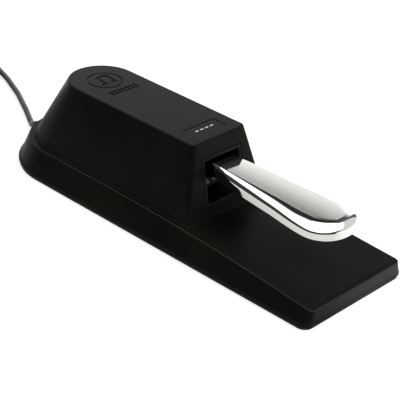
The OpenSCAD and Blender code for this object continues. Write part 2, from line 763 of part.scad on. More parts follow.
coil_start = let (path = run(to_coil, cable_start, 0)) path[len(path) - 1];
coil_centre = coil_start + coil_r * side_of(coil_heading);
module tie_loop(r) {
    x0 = coil_r - (coil_turns - 1) * turn_pitch;
    for (x = [x0, coil_r]) translate([x, lie_z]) circle(r = r);
    translate([x0, lie_z - r]) square([coil_r - x0, 2 * r]);
}
module coil_tie() color("#202020") translate([coil_centre[0], coil_centre[1], 0])
    rotate([0, 0, 90 + coil_heading]) rotate([90, 0, 0]) translate([0, 0, -tie_w / 2])
        linear_extrude(tie_w) difference() {
            tie_loop(cable_r + tie_gap + tie_t);
            tie_loop(cable_r + tie_gap);
        }

// Puts the plug on the cable's end, its axis along the cable
plug_start = cable_path[len(cable_path) - 1] - [0, plug_depth, 0];
module plug_place() translate(plug_start) rotate([-90, 0, 0]) children();

// ---------- plug, drawn with its axis up and the cable coming in from below ----------

module plug_handle() color("#181818") plug_place() difference() {
    rotate_extrude() polygon([[0, 0], [3.1, 0], [3.6, 7], [5.4, 12], [handle_r, 16],
        [handle_r, handle_len - 2], [handle_r - 1, handle_len], [0, handle_len]]);
    translate([0, 0, -over]) cylinder(r = cable_r, h = plug_depth + over);
}
module plug_collar() color("#b8babd") plug_place() translate([0, 0, handle_len])
    cylinder(r = collar_r, h = collar_len);
module plug_sleeve() color("#c4c6c9") plug_place() translate([0, 0, handle_len + collar_len])
    cylinder(r = plug_r, h = sleeve_len);
module plug_insulators() color("#101010") plug_place() for (z = [0, ring_len + insulator_t])
    translate([0, 0, handle_len + collar_len + sleeve_len + z]) cylinder(r = plug_r, h = insulator_t);
module plug_ring() color("#c4c6c9") plug_place()
    translate([0, 0, handle_len + collar_len + sleeve_len + insulator_t]) cylinder(r = plug_r, h = ring_len);
module plug_tip() color("#c4c6c9") plug_place()
    translate([0, 0, handle_len + collar_len + sleeve_len + ring_len + 2 * insulator_t])
        rotate_extrude() polygon([[0, 0], [plug_r, 0], [plug_r, 0.8], [1.9, 2.2], [plug_r - 0.3, 3.2],
            [plug_r - 0.5, 4.1], [0.6, tip_part_len], [0, tip_part_len]]);

upper_case();
label_plate();
opening_bezel();
guide_buttons();
bottom_plate();
rubber_mat();
case_screws();
chassis_bracket();
chassis_screws();
pivot_shaft();
shaft_clips();
left_bushing();
right_bushing();
pedal_lever();
lever_arm();
lever_screws();
sector_gear();
sector_screws();
return_spring();
spring_seat();
upstop_rod();
upstop_sleeve();
downstop_rod();
downstop_sleeve();
sensor_body();
sensor_terminals();
sensor_shaft();
sensor_pinion();
sensor_washer();
sensor_nut();
lead_wires();
cord_clamp();
clamp_screws();
cord_grommet();
cable();
coil_tie();
plug_handle();
plug_collar();
plug_sleeve();
plug_ring();
plug_tip();
plug_insulators();
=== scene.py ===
"""Looks of the sustain pedal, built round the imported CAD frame.

Lengths are millimetres in the row frame (X right, Y to the rear, Z up, origin on the floor under the middle
of the housing) and are turned into metres where a mesh is made.
"""

import math
from contextlib import contextmanager

import bmesh
import bpy
from mathutils import Matrix, Vector


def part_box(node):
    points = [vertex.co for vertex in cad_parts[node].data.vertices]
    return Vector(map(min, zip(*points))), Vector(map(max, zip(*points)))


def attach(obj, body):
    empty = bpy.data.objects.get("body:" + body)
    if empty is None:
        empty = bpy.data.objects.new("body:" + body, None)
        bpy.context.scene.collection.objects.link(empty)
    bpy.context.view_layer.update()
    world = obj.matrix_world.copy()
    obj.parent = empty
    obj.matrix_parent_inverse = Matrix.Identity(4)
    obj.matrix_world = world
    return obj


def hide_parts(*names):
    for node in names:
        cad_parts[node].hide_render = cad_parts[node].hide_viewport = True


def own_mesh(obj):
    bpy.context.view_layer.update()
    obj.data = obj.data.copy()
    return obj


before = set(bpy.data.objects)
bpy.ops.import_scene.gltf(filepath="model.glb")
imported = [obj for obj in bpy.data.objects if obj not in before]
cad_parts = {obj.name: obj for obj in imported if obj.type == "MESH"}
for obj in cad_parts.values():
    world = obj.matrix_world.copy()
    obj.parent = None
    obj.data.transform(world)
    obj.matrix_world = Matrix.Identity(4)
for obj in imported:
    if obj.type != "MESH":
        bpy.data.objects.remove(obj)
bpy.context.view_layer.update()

MM = 0.001
X_AXIS, Y_AXIS, Z_AXIS = Vector((1, 0, 0)), Vector((0, 1, 0)), Vector((0, 0, 1))


def box_mm(node):
    """Lowest and highest corner of a CAD node, in millimetres."""
    low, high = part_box(node)
    return low / MM, high / MM


# ---------------------------------------------------------------- sizes

case_low, case_high = box_mm("upper_case")
lever_low, lever_high = box_mm("pedal_lever")
bezel_low, bezel_high = box_mm("opening_bezel")
label_low, label_high = box_mm("label_plate")

# Housing
HALF_W = case_high.x
FRONT_Y = case_low.y
REAR_Y = case_high.y
CASE_Z = case_low.z
TOWER_H = case_high.z
BASE_H_REAR = 19.0
BASE_H_FRONT = 12.0
SKIRT_IN = 7.0
LEAN = SKIRT_IN / (BASE_H_REAR - CASE_Z)
CROWN_Y = FRONT_Y + 176.0
CROWN_DROP = BASE_H_REAR - BASE_H_FRONT
CROWN_R = ((CROWN_Y - FRONT_Y) ** 2 + CROWN_DROP ** 2) / (2 * CROWN_DROP)
WALL = 2.5
RIM_TOP = CASE_Z + 2.0
BASE_CORNER = 6.0
BASE_CORNER_SHRINK = 0.25
MIN_CORNER = 0.8
BASE_ROUND = 0.5

# Tower
FOOT_SINK = 3.0
FOOT_Z = BASE_H_REAR - FOOT_SINK
TOWER_RISE = TOWER_H - FOOT_Z
TOP_IN = 12.3
FRONT_LEAN = 11.2
REAR_LEAN = 28.2
LEDGE = 3.5
FOOT_FRONT_Y = FRONT_Y + 102.0 - FOOT_SINK * FRONT_LEAN / TOWER_RISE
FOOT_HALF_W = HALF_W - SKIRT_IN - LEDGE + FOOT_SINK * TOP_IN / TOWER_RISE
FOOT_REAR_Y = REAR_Y - SKIRT_IN - LEDGE + FOOT_SINK * REAR_LEAN / TOWER_RISE
TOWER_CORNER = 3.0
TOWER_ROUND = 1.0
FOOT_COVE = 0.6

# Opening and emblem
HOLE_HALF_W = bezel_high.x + 0.2
HOLE_Z0 = bezel_low.z - 0.2
HOLE_Z1 = bezel_high.z + 0.2
EMBLEM_Y = 76.3
EMBLEM_R = 11.8
ENGRAVED = 0.45
CUT_TOP = TOWER_H + 0.5

# Lever
LEVER_TOP = lever_high.z
LEVER_HALF_W = lever_high.x
TIP_Y = lever_low.y
NECK_Y = -33.0
NECK_HALF_W = 11.0
FLARE_Y = -78.0
WIDE_Y = TIP_Y + 17.8
LEVER_DEPTH = 9.0
LEVER_WALL = 2.4
LEVER_DROP = LEVER_TOP - LEVER_DEPTH - lever_low.z

# Cable
CABLE_R = 2.0
CABLE_HOLE = CABLE_R + 0.02
EXIT_Z = 8.0


# ---------------------------------------------------------------- mesh helpers


def frange(first, last, steps):
    return [first + (last - first) * i / steps for i in range(steps + 1)]


def quarter(steps):
    """Sine and cosine of evenly spaced angles from 0 to 90 degrees."""
    return [(math.sin(a), math.cos(a)) for a in frange(0, math.pi / 2, steps)]


def circle(radius, sides, z, squeeze=1.0):
    """A ring of points about the Z axis, squeezed along Y."""
    turns = frange(0, 2 * math.pi, sides)[:-1]
    return [(radius * math.cos(a), squeeze * radius * math.sin(a), z) for a in turns]


def add_object(name, data):
    obj = bpy.data.objects.new(name, data)
    bpy.context.scene.collection.objects.link(obj)
    return obj


def make_mesh(name, points, faces):
    """A mesh object at the origin from points in millimetres."""
    mesh = bpy.data.meshes.new(name)
    mesh.from_pydata([Vector(p) * MM for p in points], [], faces)
    mesh.validate()
    return add_object(name, mesh)


@contextmanager
def editing(obj):
    """The object's mesh, open for editing."""
    work = bmesh.new()
    work.from_mesh(obj.data)
    yield work
    work.to_mesh(obj.data)
    work.free()


def outward(obj):
    """Makes all face normals point outward."""
    with editing(obj) as work:
        bmesh.ops.recalc_face_normals(work, faces=work.faces)
    return obj


def smooth(obj, angle=32, weighted=True):
    """Smooth shading with sharp edges kept above an angle, and large faces kept flat."""
    obj.data.shade_smooth()
    obj.data.set_sharp_from_angle(angle=math.radians(angle))
    if weighted:
        modifier = obj.modifiers.new("flat_faces", "WEIGHTED_NORMAL")
        modifier.keep_sharp = True
        modifier.weight = 50
    return obj


def ring_faces(count, rows, closed_rows=False):
    """Quads between rows of points, each row a closed ring of count points."""
    faces = []
    for j in range(rows if closed_rows else rows - 1):
        low, high = j * count, (j + 1) % rows * count
        for i in range(count):
            k = (i + 1) % count
            faces.append((low + i, low + k, high + k, high + i))
    return faces


def loft(name, rings, band=False):
    """A solid through rings of the same number of points. In a band, the last ring joins the first."""
    count = len(rings[0])
    points = [p for ring in rings for p in ring]
    faces = ring_faces(count, len(rings), band)
    if not band:
        faces.append(tuple(reversed(range(count))))
        faces.append(tuple(range(len(points) - count, len(points))))
    return outward(make_mesh(name, points, faces))


def lathe(name, profile, origin, axis, sides=64):
    """Turns (radius, distance) points about an axis. Radius 0 at either end closes the solid."""
    origin, axis = Vector(origin), Vector(axis)
    across = axis.orthogonal().normalized()
    other = axis.cross(across)
    points, rows = [], []
    for radius, along in profile:
        count = sides if radius > 1e-6 else 1
        rows.append(range(len(points), len(points) + count))
        for x, y, z in circle(radius, count, along):
            points.append(origin + axis * z + across * x + other * y)
    faces = []
    for low, high in zip(rows, rows[1:] + ([] if len(rows[0]) == 1 else rows[:1])):
        for i, k in zip(range(sides), [*range(1, sides), 0]):
            corners = (low[i % len(low)], low[k % len(low)], high[k % len(high)], high[i % len(high)])
            faces.append(tuple(dict.fromkeys(corners)))
    return outward(make_mesh(name, points, [face for face in faces if len(face) > 2]))


def bevel(obj, width):
    """Rounds the sharp edges, by a width in millimetres."""
    modifier = obj.modifiers.new("rounded_edges", "BEVEL")
    modifier.width = width * MM
    modifier.segments = 3
    modifier.limit_method = "ANGLE"
    modifier.angle_limit = math.radians(35)


def combine(obj, other, operation="DIFFERENCE"):
    """Boolean with another solid, which is then removed."""
    modifier = obj.modifiers.new("combine", "BOOLEAN")
    modifier.solver = "MANIFOLD"
    modifier.operation = operation
    modifier.object = other
    graph = bpy.context.evaluated_depsgraph_get()
    mesh = bpy.data.meshes.new_from_object(obj.evaluated_get(graph), depsgraph=graph)
    obj.modifiers.clear()
    old = obj.data
    obj.data = mesh
    bpy.data.meshes.remove(old)
    bpy.data.objects.remove(other)


def join(name, objs):
    """Joins mesh objects into the first one and names it."""
    with editing(objs[0]) as work:
        for o in objs[1:]:
            work.from_mesh(o.data)
    for o in objs[1:]:
        bpy.data.objects.remove(o)
    objs[0].name = name
    return objs[0]


def tube(name, path, radius, sides):
    """A round tube along a list of points, its frame carried along the path without twisting."""
    last = len(path) - 1
    side = None
    rings = []
    for i, p in enumerate(path):
        ahead = (path[min(i + 1, last)] - path[max(i - 1, 0)]).normalized()
        side = ahead.orthogonal() if side is None else side - ahead * side.dot(ahead)
        side.normalize()
        up = ahead.cross(side)
        rings.append([p + side * x + up * y for x, y, _ in circle(radius, sides, 0)])
    return loft(name, rings)


def ride(obj, body, slot, *nodes):
    """Fixes a piece to its body and hides the CAD nodes it stands for. The slot is not used."""
    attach(obj, body)
    if nodes:
        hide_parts(*nodes)


def place(obj, slot, *nodes, material=None):
    """Fixes a piece to the housing, in the material its slot is named after unless another is given."""
    obj.data.materials.clear()
    obj.data.materials.append(materials[material or slot])
    ride(obj, "housing", slot, *nodes)


# ---------------------------------------------------------------- material helpers

materials = {}
# A mix node's first input and its output, of each kind
MIX_SOCKETS = {"FLOAT": (2, 0), "RGBA": (6, 2)}


class Nodes:
    """Short calls for the nodes of a tree. Numbers and colours may stand in for sockets."""

    def new(self, kind):
        return self.tree.nodes.new("ShaderNode" + kind)

    def link(self, source, node, key):
        if isinstance(source, (int, float)):
            node.inputs[key].default_value = source
        elif isinstance(source, tuple):
            node.inputs[key].default_value = (*source, 1)
        else:
            self.tree.links.new(source, node.inputs[key])

    def split(self, vector):
        node = self.new("SeparateXYZ")
        self.link(vector, node, 0)
        return node.outputs

    def math(self, operation, a, b=0.0):
        node = self.new("Math")
        node.operation = operation
        self.link(a, node, 0)
        self.link(b, node, 1)
        return node.outputs[0]

    def product(self, first, *others):
        for other in others:
            first = self.math("MULTIPLY", first, other)
        return first

    def remap(self, fac, low, high, to_low=0, to_high=1):
        """A smooth step from to_low to to_high as fac goes from low to high."""
        node = self.new("MapRange")
        node.interpolation_type = "SMOOTHSTEP"
        values = {"Value": fac, "From Min": low, "From Max": high, "To Min": to_low, "To Max": to_high}
        for key, value in values.items():
            self.link(value, node, key)
        return node.outputs["Result"]

    def mix(self, fac, first, second, kind="RGBA"):
        """first where fac is 0, second where it is 1."""
        node = self.new("Mix")
        node.data_type = kind
        a_input, result = MIX_SOCKETS[kind]
        for key, value in ((0, fac), (a_input, first), (a_input + 1, second)):
            self.link(value, node, key)
        return node.outputs[result]


class Look(Nodes):
    """A Principled material whose colour, roughness and relief follow patterns."""

    def __init__(self, name, metal=0.0, spec=0.5, **inputs):
        materials[name] = bpy.data.materials.new(name)
        materials[name].use_nodes = True
        self.tree = materials[name].node_tree
        self.shader = self.tree.nodes["Principled BSDF"]
        self.coord = self.new("TexCoord").outputs["Object"]
        for key, value in {"Metallic": metal, "Specular IOR Level": spec, **inputs}.items():
            self.link(value, self.shader, key.replace("_", " "))

    def noise(self, scale, detail, stretch=(1, 1, 1), rough=0.5):
        """Noise over the object's coordinates, in metres: millimetre features have scales near 1000."""
        mapping = self.new("Mapping")
        mapping.inputs["Scale"].default_value = stretch
        self.link(self.coord, mapping, "Vector")
        node = self.new("TexNoise")
        values = {"Scale": scale, "Detail": detail, "Roughness": rough, "Vector": mapping.outputs["Vector"]}
        for key, value in values.items():
            self.link(value, node, key)
        return node.outputs["Fac"]

    def cells(self, scale, feature="F1"):
        node = self.new("TexVoronoi")
        node.feature = feature
        self.link(scale, node, "Scale")
        self.link(self.coord, node, "Vector")
        return node.outputs["Distance"]

    def pattern(self, kind, *values):
        """Cells for ("cells", scale, ...), noise for (scale, detail, ...)."""
        return self.cells(*values) if kind == "cells" else self.noise(kind, *values)

    def color(self, fac, first, second):
        self.link(self.mix(fac, first, second), self.shader, "Base Color")

    def rough(self, fac, low, high):
        self.link(self.remap(fac, 0.25, 0.75, low, high), self.shader, "Roughness")

    def bump(self, height, strength, depth, normal=None):
        """Bump of a depth in millimetres. Returns its normal, so that a second one can sit on it."""
        node = self.new("Bump")
        for key, value in {"Strength": strength, "Distance": depth * MM, "Height": height}.items():
            self.link(value, node, key)
        if normal is not None:
            self.link(normal, node, "Normal")
        self.link(node.outputs["Normal"], self.shader, "Normal")
        return node.outputs["Normal"]


# ---------------------------------------------------------------- materials


def surface(name, tint, relief, wear=None, **inputs):
    """A material whose colour, bump and roughness each follow their own pattern.

    tint is a pattern and two colours, relief a pattern, a strength and a depth in millimetres, and wear a
    pattern and two roughnesses.
    """
    look = Look(name, **inputs)
    look.color(look.pattern(*tint[0]), *tint[1:])
    look.bump(look.pattern(*relief[0]), *relief[1:])
    if wear:
        look.rough(look.pattern(*wear[0]), *wear[1:])


def dulled(color):
    return tuple(0.8 * c for c in color)


def housing_plastic():
    """Black moulded plastic with a fine spark-eroded grain and faint cloudy variation."""
    look = Look("housing_plastic", spec=0.05, Specular_Tint=WARM)
    cloud = look.remap(look.noise(18, 4), 0.3, 0.7)
    body = look.mix(cloud, (0.0036, 0.0033, 0.0027), (0.0054, 0.0050, 0.0041))
    # Painted highlight round the base: a lighter colour on its rounded top edges, which alone face between
    # the sides and the top
    facing = look.split(look.new("NewGeometry").outputs["Normal"])["Z"]
    edge = look.product(look.remap(facing, 0.5, 0.7), look.remap(facing, 0.90, 0.97, 1, 0))
    x, y = (look.split(look.coord)[k] for k in "XY")
    past = look.math("MAXIMUM", look.math("SUBTRACT", y, (REAR_Y - HALF_W) * MM), 0.0)
    across = look.math("SQRT", look.math("ADD", look.product(x, x), look.product(past, past)))
    sides = look.remap(across, (HALF_W - 8.8) * MM, (HALF_W - 8) * MM)
    rim = look.math("MAXIMUM", sides, look.remap(y, (FRONT_Y + 7) * MM, (FRONT_Y + 12) * MM, 1, 0))
    # The painted highlight: the rounded edges along the sides and front are coloured lighter
    look.color(look.product(edge, rim), body, (0.038, 0.036, 0.031))
    look.rough(look.noise(60, 5), 0.30, 0.37)
    look.bump(look.noise(900, 2), 0.12, 0.04, look.bump(look.noise(2600, 2), 0.25, 0.03))


def lever_brushed():
    """Chrome top of the lever: satin, brushed along its length."""
    look = Look("lever_brushed", metal=1.0, Anisotropic=0.5)
    tangent = look.new("CombineXYZ")
    look.link(1.0, tangent, "X")
    look.link(tangent.outputs[0], look.shader, "Tangent")
    streaks = look.noise(1, 4, (2600, 22, 1), 0.6)
    fine = look.noise(1, 2, (6500, 60, 1), 0.5)
    brushed = look.mix(look.remap(streaks, 0.3, 0.7), (0.68, 0.68, 0.672), (0.84, 0.84, 0.832))
    # Painted shade: the neck, where it runs under the tower's front into the opening, is coloured much
    # darker; out of the foot's reach, it is also given a lower roughness, as less worn
    y = look.split(look.coord)["Y"]
    look.color(look.remap(y, (NECK_Y - 4) * MM, (NECK_Y + 1) * MM), brushed, (0.17, 0.17, 0.165))
    worn = look.remap(y, (NECK_Y - 22) * MM, (NECK_Y - 3) * MM, 1, 0.35)
    rough = look.product(look.remap(fine, 0.25, 0.75, 0.10, 0.16), worn)
    look.link(rough, look.shader, "Roughness")
    look.bump(fine, 0.06, 0.003, look.bump(streaks, 0.12, 0.004))


WARM = (1, 0.94, 0.86)
housing_plastic()
lever_brushed()
# Mirror chrome of the lever's rounded edge and sides
surface("lever_chrome", ((45, 4), (0.75, 0.75, 0.745), (0.80, 0.80, 0.79)),
        ((25, 2), 0.05, 0.03), ((90, 5), 0.02, 0.06), metal=1.0)
# Smoother plastic of the opening's frame
surface("bezel_plastic", ((120, 3), (0.0030, 0.0028, 0.0024), (0.0048, 0.0045, 0.0039)),
        ((1800, 2), 0.15, 0.02), ((200, 3), 0.30, 0.42), spec=0.08)
# Matte film on the label panel, and its pale ink
surface("label_film", ((300, 3), (0.0045, 0.0042, 0.0036), (0.0062, 0.0058, 0.005)),
        (("cells", 3500), 0.08, 0.01), ((500, 2), 0.31, 0.38), spec=0.05, Specular_Tint=WARM)
surface("print_ink", ((2500, 3), (0.5, 0.5, 0.48), (0.82, 0.82, 0.8)),
        ((4000, 2), 0.1, 0.01), spec=0.3, Roughness=0.55)
# Milky nylon of the bushings and gears, dark nylon of the guide pins
for nylon_name, low_color, high_color in (
    ("nylon", (0.50, 0.48, 0.42), (0.62, 0.60, 0.53)),
    ("guide_nylon", (0.035, 0.035, 0.033), (0.05, 0.05, 0.047)),
):
    surface(nylon_name, ((150, 4), low_color, high_color), ((1500, 2), 0.1, 0.02), ((400, 3), 0.35, 0.48),
            spec=0.4, Subsurface_Weight=0.1, Subsurface_Scale=0.001)
# Zinc-plated sheet with a rolled grain and pale spangle
surface("plate_steel", (("cells", 120), (0.42, 0.43, 0.44), (0.58, 0.58, 0.56)),
        ((900, 3, (1, 0.05, 1)), 0.15, 0.02), ((40, 5, (1, 12, 1)), 0.25, 0.45), metal=1.0)
# Dark powder coat with an orange-peel surface
surface("chassis_paint", ((90, 4), (0.011, 0.012, 0.013), (0.020, 0.021, 0.022)),
        (("cells", 1400, "SMOOTH_F1"), 0.3, 0.05), ((250, 3), 0.42, 0.6), spec=0.3)
# Matte black rubber with a fine dusty mottle
surface("mat_rubber", ((160, 6), (0.008, 0.008, 0.008), (0.022, 0.0215, 0.02)),
        ((2200, 4), 0.35, 0.06), ((80, 4), 0.7, 0.92), spec=0.2)
# Dark felt-like sleeve of the stops, with short fibres
surface("stop_rubber", ((900, 5), (0.011, 0.011, 0.0105), (0.034, 0.034, 0.032)),
        ((2600, 5, (1, 3, 3)), 0.6, 0.12), spec=0.1, Roughness=0.95, Sheen_Weight=0.1)
# Soft black PVC with a faint extrusion grain
surface("cable_jacket", ((70, 4), (0.009, 0.009, 0.009), (0.018, 0.0178, 0.017)),
        ((1500, 3), 0.15, 0.03), ((220, 4), 0.3, 0.46), spec=0.45)
# Satin black moulding of the plug's handle, and nickel plate with fine turning marks along Y
surface("plug_grip", ((90, 4), (0.009, 0.009, 0.009), (0.018, 0.018, 0.0175)),
        ((2400, 2), 0.2, 0.03), ((300, 3), 0.36, 0.5), spec=0.4)
surface("plug_metal", ((200, 4), (0.58, 0.57, 0.545), (0.70, 0.69, 0.66)),
        ((500, 3, (0.1, 12, 0.1)), 0.08, 0.01), ((260, 3, (1, 10, 1)), 0.08, 0.22), metal=1.0)
# Turned or ground metal with fine marks across the axis
for metal_name, color, rough, lines in (
    ("screw_steel", (0.34, 0.34, 0.35), 0.3, (1, 1, 8)),
    ("shaft_steel", (0.58, 0.58, 0.59), 0.2, (14, 1, 1)),
    ("arm_steel", (0.40, 0.40, 0.41), 0.4, (1, 8, 1)),
    ("spring_steel", (0.45, 0.45, 0.46), 0.28, (1, 1, 10)),
    ("contact_brass", (0.72, 0.56, 0.28), 0.25, (1, 1, 8)),
):
    surface(metal_name, ((500, 4), dulled(color), color), ((700, 3, lines), 0.12, 0.015),
            ((300, 4, lines), rough - 0.06, rough + 0.14), metal=1.0)
# Small smooth plastic parts
for plastic_name, color, rough in (
    ("sensor_case", (0.05, 0.042, 0.032), 0.35),
    ("wire_red", (0.42, 0.02, 0.015), 0.4),
    ("wire_white", (0.70, 0.69, 0.66), 0.4),
    ("wire_black", (0.015, 0.015, 0.015), 0.4),
    ("clamp_nylon", (0.02, 0.02, 0.021), 0.45),
    ("plug_black", (0.012, 0.012, 0.012), 0.3),
):
    surface(plastic_name, ((400, 3), dulled(color), color), ((1800, 2), 0.1, 0.02),
            ((600, 3), rough - 0.05, rough + 0.1), spec=0.45)


# ---------------------------------------------------------------- housing

FRONT_STEPS = 6
CORNER_STEPS = 8
SIDE_STEPS = 16
REAR_STEPS = 40


def crown(y):
    """Height of the base's top surface at distance y."""
    if y >= CROWN_Y:
        return BASE_H_REAR
    return BASE_H_REAR - CROWN_R + math.sqrt(CROWN_R ** 2 - (CROWN_Y - y) ** 2)


def stations(side_ys):
    """Places along the right half of a plan, from the middle of the front to the middle of the rear."""
    return (
        [("front", t) for t in frange(0, 1, FRONT_STEPS)[:-1]]
        + [("corner", a) for a in frange(-math.pi / 2, 0, CORNER_STEPS)]
        + [("side", y) for y in side_ys]
        + [("rear", a) for a in frange(0, math.pi / 2, REAR_STEPS)]
    )


BASE_PLACES = stations(frange(FRONT_Y + BASE_CORNER, REAR_Y - HALF_W, SIDE_STEPS)[1:-1])
TOWER_PLACES = stations([FOOT_FRONT_Y + 22 + 20 * i for i in range(4)])


def plan_point(station, half, front, rear, corner):
    """Point and outward direction of a plan with straight sides, front corners and a half-round rear."""
    kind, value = station
    if kind == "front":
        return Vector((value * (half - corner), front)), Vector((0, -1))
    if kind == "side":
        return Vector((half, value)), Vector((1, 0))
    out = Vector((math.cos(value), math.sin(value)))
    if kind == "corner":
        return Vector((half - corner, front + corner)) + out * corner, out
    return Vector((0, rear - half)) + out * half, out


def ladder(count_half, start):
    """Faces that close a mirrored ring with strips between its right and left points."""
    total = 2 * count_half - 2
    faces = []
    for i in range(count_half - 1):
        far = (start + (total - i - 1) % total, start + (total - i) % total)
        faces.append(tuple(dict.fromkeys((start + i, start + i + 1, *far))))
    return faces


def stacked(name, places, rows_of):
    """A symmetric solid from its rows above each place on the right half of a plan, lowest first."""
    half_rings = [list(ring) for ring in zip(*(rows_of(s) for s in places))]
    rings = [half + [(-x, y, z) for x, y, z in half[-2:0:-1]] for half in half_rings]
    total = len(rings[0])
    points = [p for ring in rings for p in ring]
    faces = ring_faces(total, len(rings))
    faces += ladder(len(places), 0) + ladder(len(places), len(points) - total)
    return outward(make_mesh(name, points, faces))


def wall_points(plan, station, steps, inset=0.0):
    """Points above one place, from steps of a plan's height, the point's height and its offset outward."""
    rows = []
    for plan_z, z, offset in steps:
        point, out = plan(station, plan_z, inset)
        rows.append((*(point + out * offset), z))
    return rows


def rounded_edge(top, radius, lean):
    """Steps over the rounded edge between a leaning wall and the top."""
    centre = radius * (lean - math.sqrt(1 + lean ** 2))
    return [(top, top - radius + radius * math.sin(a), centre + radius * math.cos(a))
            for a in frange(math.atan(lean), math.pi / 2, 7)]


def base_plan(station, z, inset=0.0):
    """Plan of the base at height z, its sides and rear leaning in and its corners tightening."""
    up = z - CASE_Z
    front_in = 0.0 if up <= 0 else 0.12 + 0.02 * up
    return plan_point(
        station,
        HALF_W - LEAN * up - inset,
        FRONT_Y + front_in + inset,
        REAR_Y - LEAN * up - inset,
        max(BASE_CORNER - BASE_CORNER_SHRINK * up - inset, MIN_CORNER),
    )


def base_rows(station):
    """Points from the bottom edge to the top surface, above one place on the plan."""
    point, out = base_plan(station, CASE_Z)
    # The wall leans at the sides and rear, not in front
    edge = rounded_edge(crown(point.y), BASE_ROUND, LEAN * out.x ** 2 if out.y < 0 else LEAN)
    lip, chamfer = 0.35, 0.1
    steps = [(CASE_Z, CASE_Z, -lip), (CASE_Z, CASE_Z + lip, 0), (CASE_Z, RIM_TOP - lip, 0),
             (CASE_Z, RIM_TOP - chamfer, -chamfer), (CASE_Z, RIM_TOP, -lip)]
    steps += [(z, z, 0) for z in frange(RIM_TOP, edge[0][1], 4)[:-1]]
    return wall_points(base_plan, station, steps + edge)


def base_hollow_rows(station):
    point, _ = base_plan(station, CASE_Z, WALL)
    heights = (CASE_Z - 1, crown(point.y) - WALL)
    return wall_points(base_plan, station, [(z, z, 0) for z in heights], WALL)


def tower_plan(station, z, inset=0.0):
    """Plan of the tower at height z: an oblique half-cone at the rear, leaning flat walls elsewhere."""
    up = (z - FOOT_Z) / TOWER_RISE
    return plan_point(
        station,
        FOOT_HALF_W - TOP_IN * up - inset,
        FOOT_FRONT_Y + FRONT_LEAN * up + inset,
        FOOT_REAR_Y - REAR_LEAN * up - inset,
        max(TOWER_CORNER - inset, MIN_CORNER),
    )


def tower_lean(direction):
    """Lean of the tower's wall in a plan direction."""
    if direction.y >= 0:
        return (TOP_IN + (REAR_LEAN - TOP_IN) * direction.y) / TOWER_RISE
    return (TOP_IN * direction.x ** 2 + FRONT_LEAN * direction.y ** 2) / TOWER_RISE


def tower_rows(station):
    """Points from inside the base, over the cove at the foot, up to the rounded top edge."""
    foot, out = tower_plan(station, BASE_H_REAR)
    ground = crown(foot.y) - 0.04
    edge = rounded_edge(TOWER_H, TOWER_ROUND, tower_lean(out))
    steps = [(ground, ground - 1.2, FOOT_COVE)]
    for sine, cosine in quarter(5)[::-1]:
        z = ground + FOOT_COVE * (1 - sine)
        steps.append((z, z, FOOT_COVE * (1 - cosine)))
    steps += [(z, z, 0) for z in frange(ground + FOOT_COVE, edge[0][1], 5)[1:-1]]
    return wall_points(tower_plan, station, steps + edge)


def tower_hollow_rows(station):
    heights = (FOOT_Z - WALL, TOWER_H - WALL)
    return wall_points(tower_plan, station, [(z, z, 0) for z in heights], WALL)


def front_plane(z):
    """Where the tower's leaning front lies at height z."""
    return FOOT_FRONT_Y + FRONT_LEAN / TOWER_RISE * (z - FOOT_Z)


def rounded_rectangle(half_w, z0, z1, radius, depth):
    """Outline in the leaning front plane, pushed depth behind it."""
    ring = []
    corners = ((half_w, z1, 0), (-half_w, z1, 90), (-half_w, z0, 180), (half_w, z0, 270))
    for x, z, start in corners:
        cx = x - math.copysign(radius, x)
        cz = z - radius if z == z1 else z + radius
        for a in frange(math.radians(start), math.radians(start + 90), 5):
            px, pz = cx + radius * math.cos(a), cz + radius * math.sin(a)
            ring.append((px, front_plane(pz) + depth, pz))
    return ring


def opening_cutter():
    """The opening through the front wall, with a small chamfer at its mouth."""
    chamfer = 0.3
    return loft("opening_cut", [
        rounded_rectangle(HOLE_HALF_W + grow, HOLE_Z0 - grow, HOLE_Z1 + grow, 0.9 + grow, depth)
        for grow, depth in ((chamfer + 1, -1.0), (chamfer, 0.0), (0, chamfer), (0, 6.0))
    ])


def level_block(name, half_x, y0, y1, z_low, z_high, flare=0.0):
    """An upright block that widens by flare towards its top."""
    rings = []
    for z, grow in ((z_low, 0.0), (z_high, flare)):
        x, near, far = half_x + grow, y0 - grow, y1 + grow
        rings.append([(-x, near, z), (x, near, z), (x, far, z), (-x, far, z)])
    return loft(name, rings)


def shifted(obj, x, y, turn=0.0):
    """Turns a mesh about Z, in degrees, and moves it, in millimetres."""
    move = Matrix.Translation(Vector((x, y, 0)) * MM)
    obj.data.transform(move @ Matrix.Rotation(math.radians(turn), 4, "Z"))
    return obj


def emblem_cutters():
    """A round groove and in it two beamed quavers, a plain musical sign, as upright plugs to engrave."""
    low, slope, groove = TOWER_H - 0.5, 0.12, 1.2
    profile = ((EMBLEM_R - groove + slope, low), (EMBLEM_R - slope, low),
               (EMBLEM_R + 0.1, CUT_TOP), (EMBLEM_R - groove - 0.1, CUT_TOP))
    ring = loft("ring_cut", [circle(r, 96, z) for r, z in profile], band=True)
    cutters = [shifted(ring, 0, EMBLEM_Y)]
    head_y, beam_y, low, widen = EMBLEM_Y - 5.0, EMBLEM_Y + 4.6, TOWER_H - ENGRAVED, 0.06
    for x in (-4.2, 3.4):
        head = loft("note_head", [circle(r, 28, z, 0.72) for r, z in ((2.5, low), (2.6, CUT_TOP))])
        stem = level_block("note_stem", 0.7, head_y, beam_y + 0.6, low, CUT_TOP, widen)
        cutters += [shifted(head, x, head_y, 25), shifted(stem, x + 1.9, 0)]
    beam = level_block("note_beam", 4.3, beam_y, beam_y + 2.0, low, CUT_TOP, widen)
    return cutters + [shifted(beam, 1.5, 0)]


def key_cutters():
    """Seven short engraved bars in a row beside the emblem, like a row of piano keys."""
    near, far, pitch = 55.6, 61.4, 3.4
    return [shifted(level_block("key_bar", 1.0, near, far, TOWER_H - ENGRAVED, CUT_TOP, 0.05), pitch * k, 0)
            for k in range(-3, 4)]


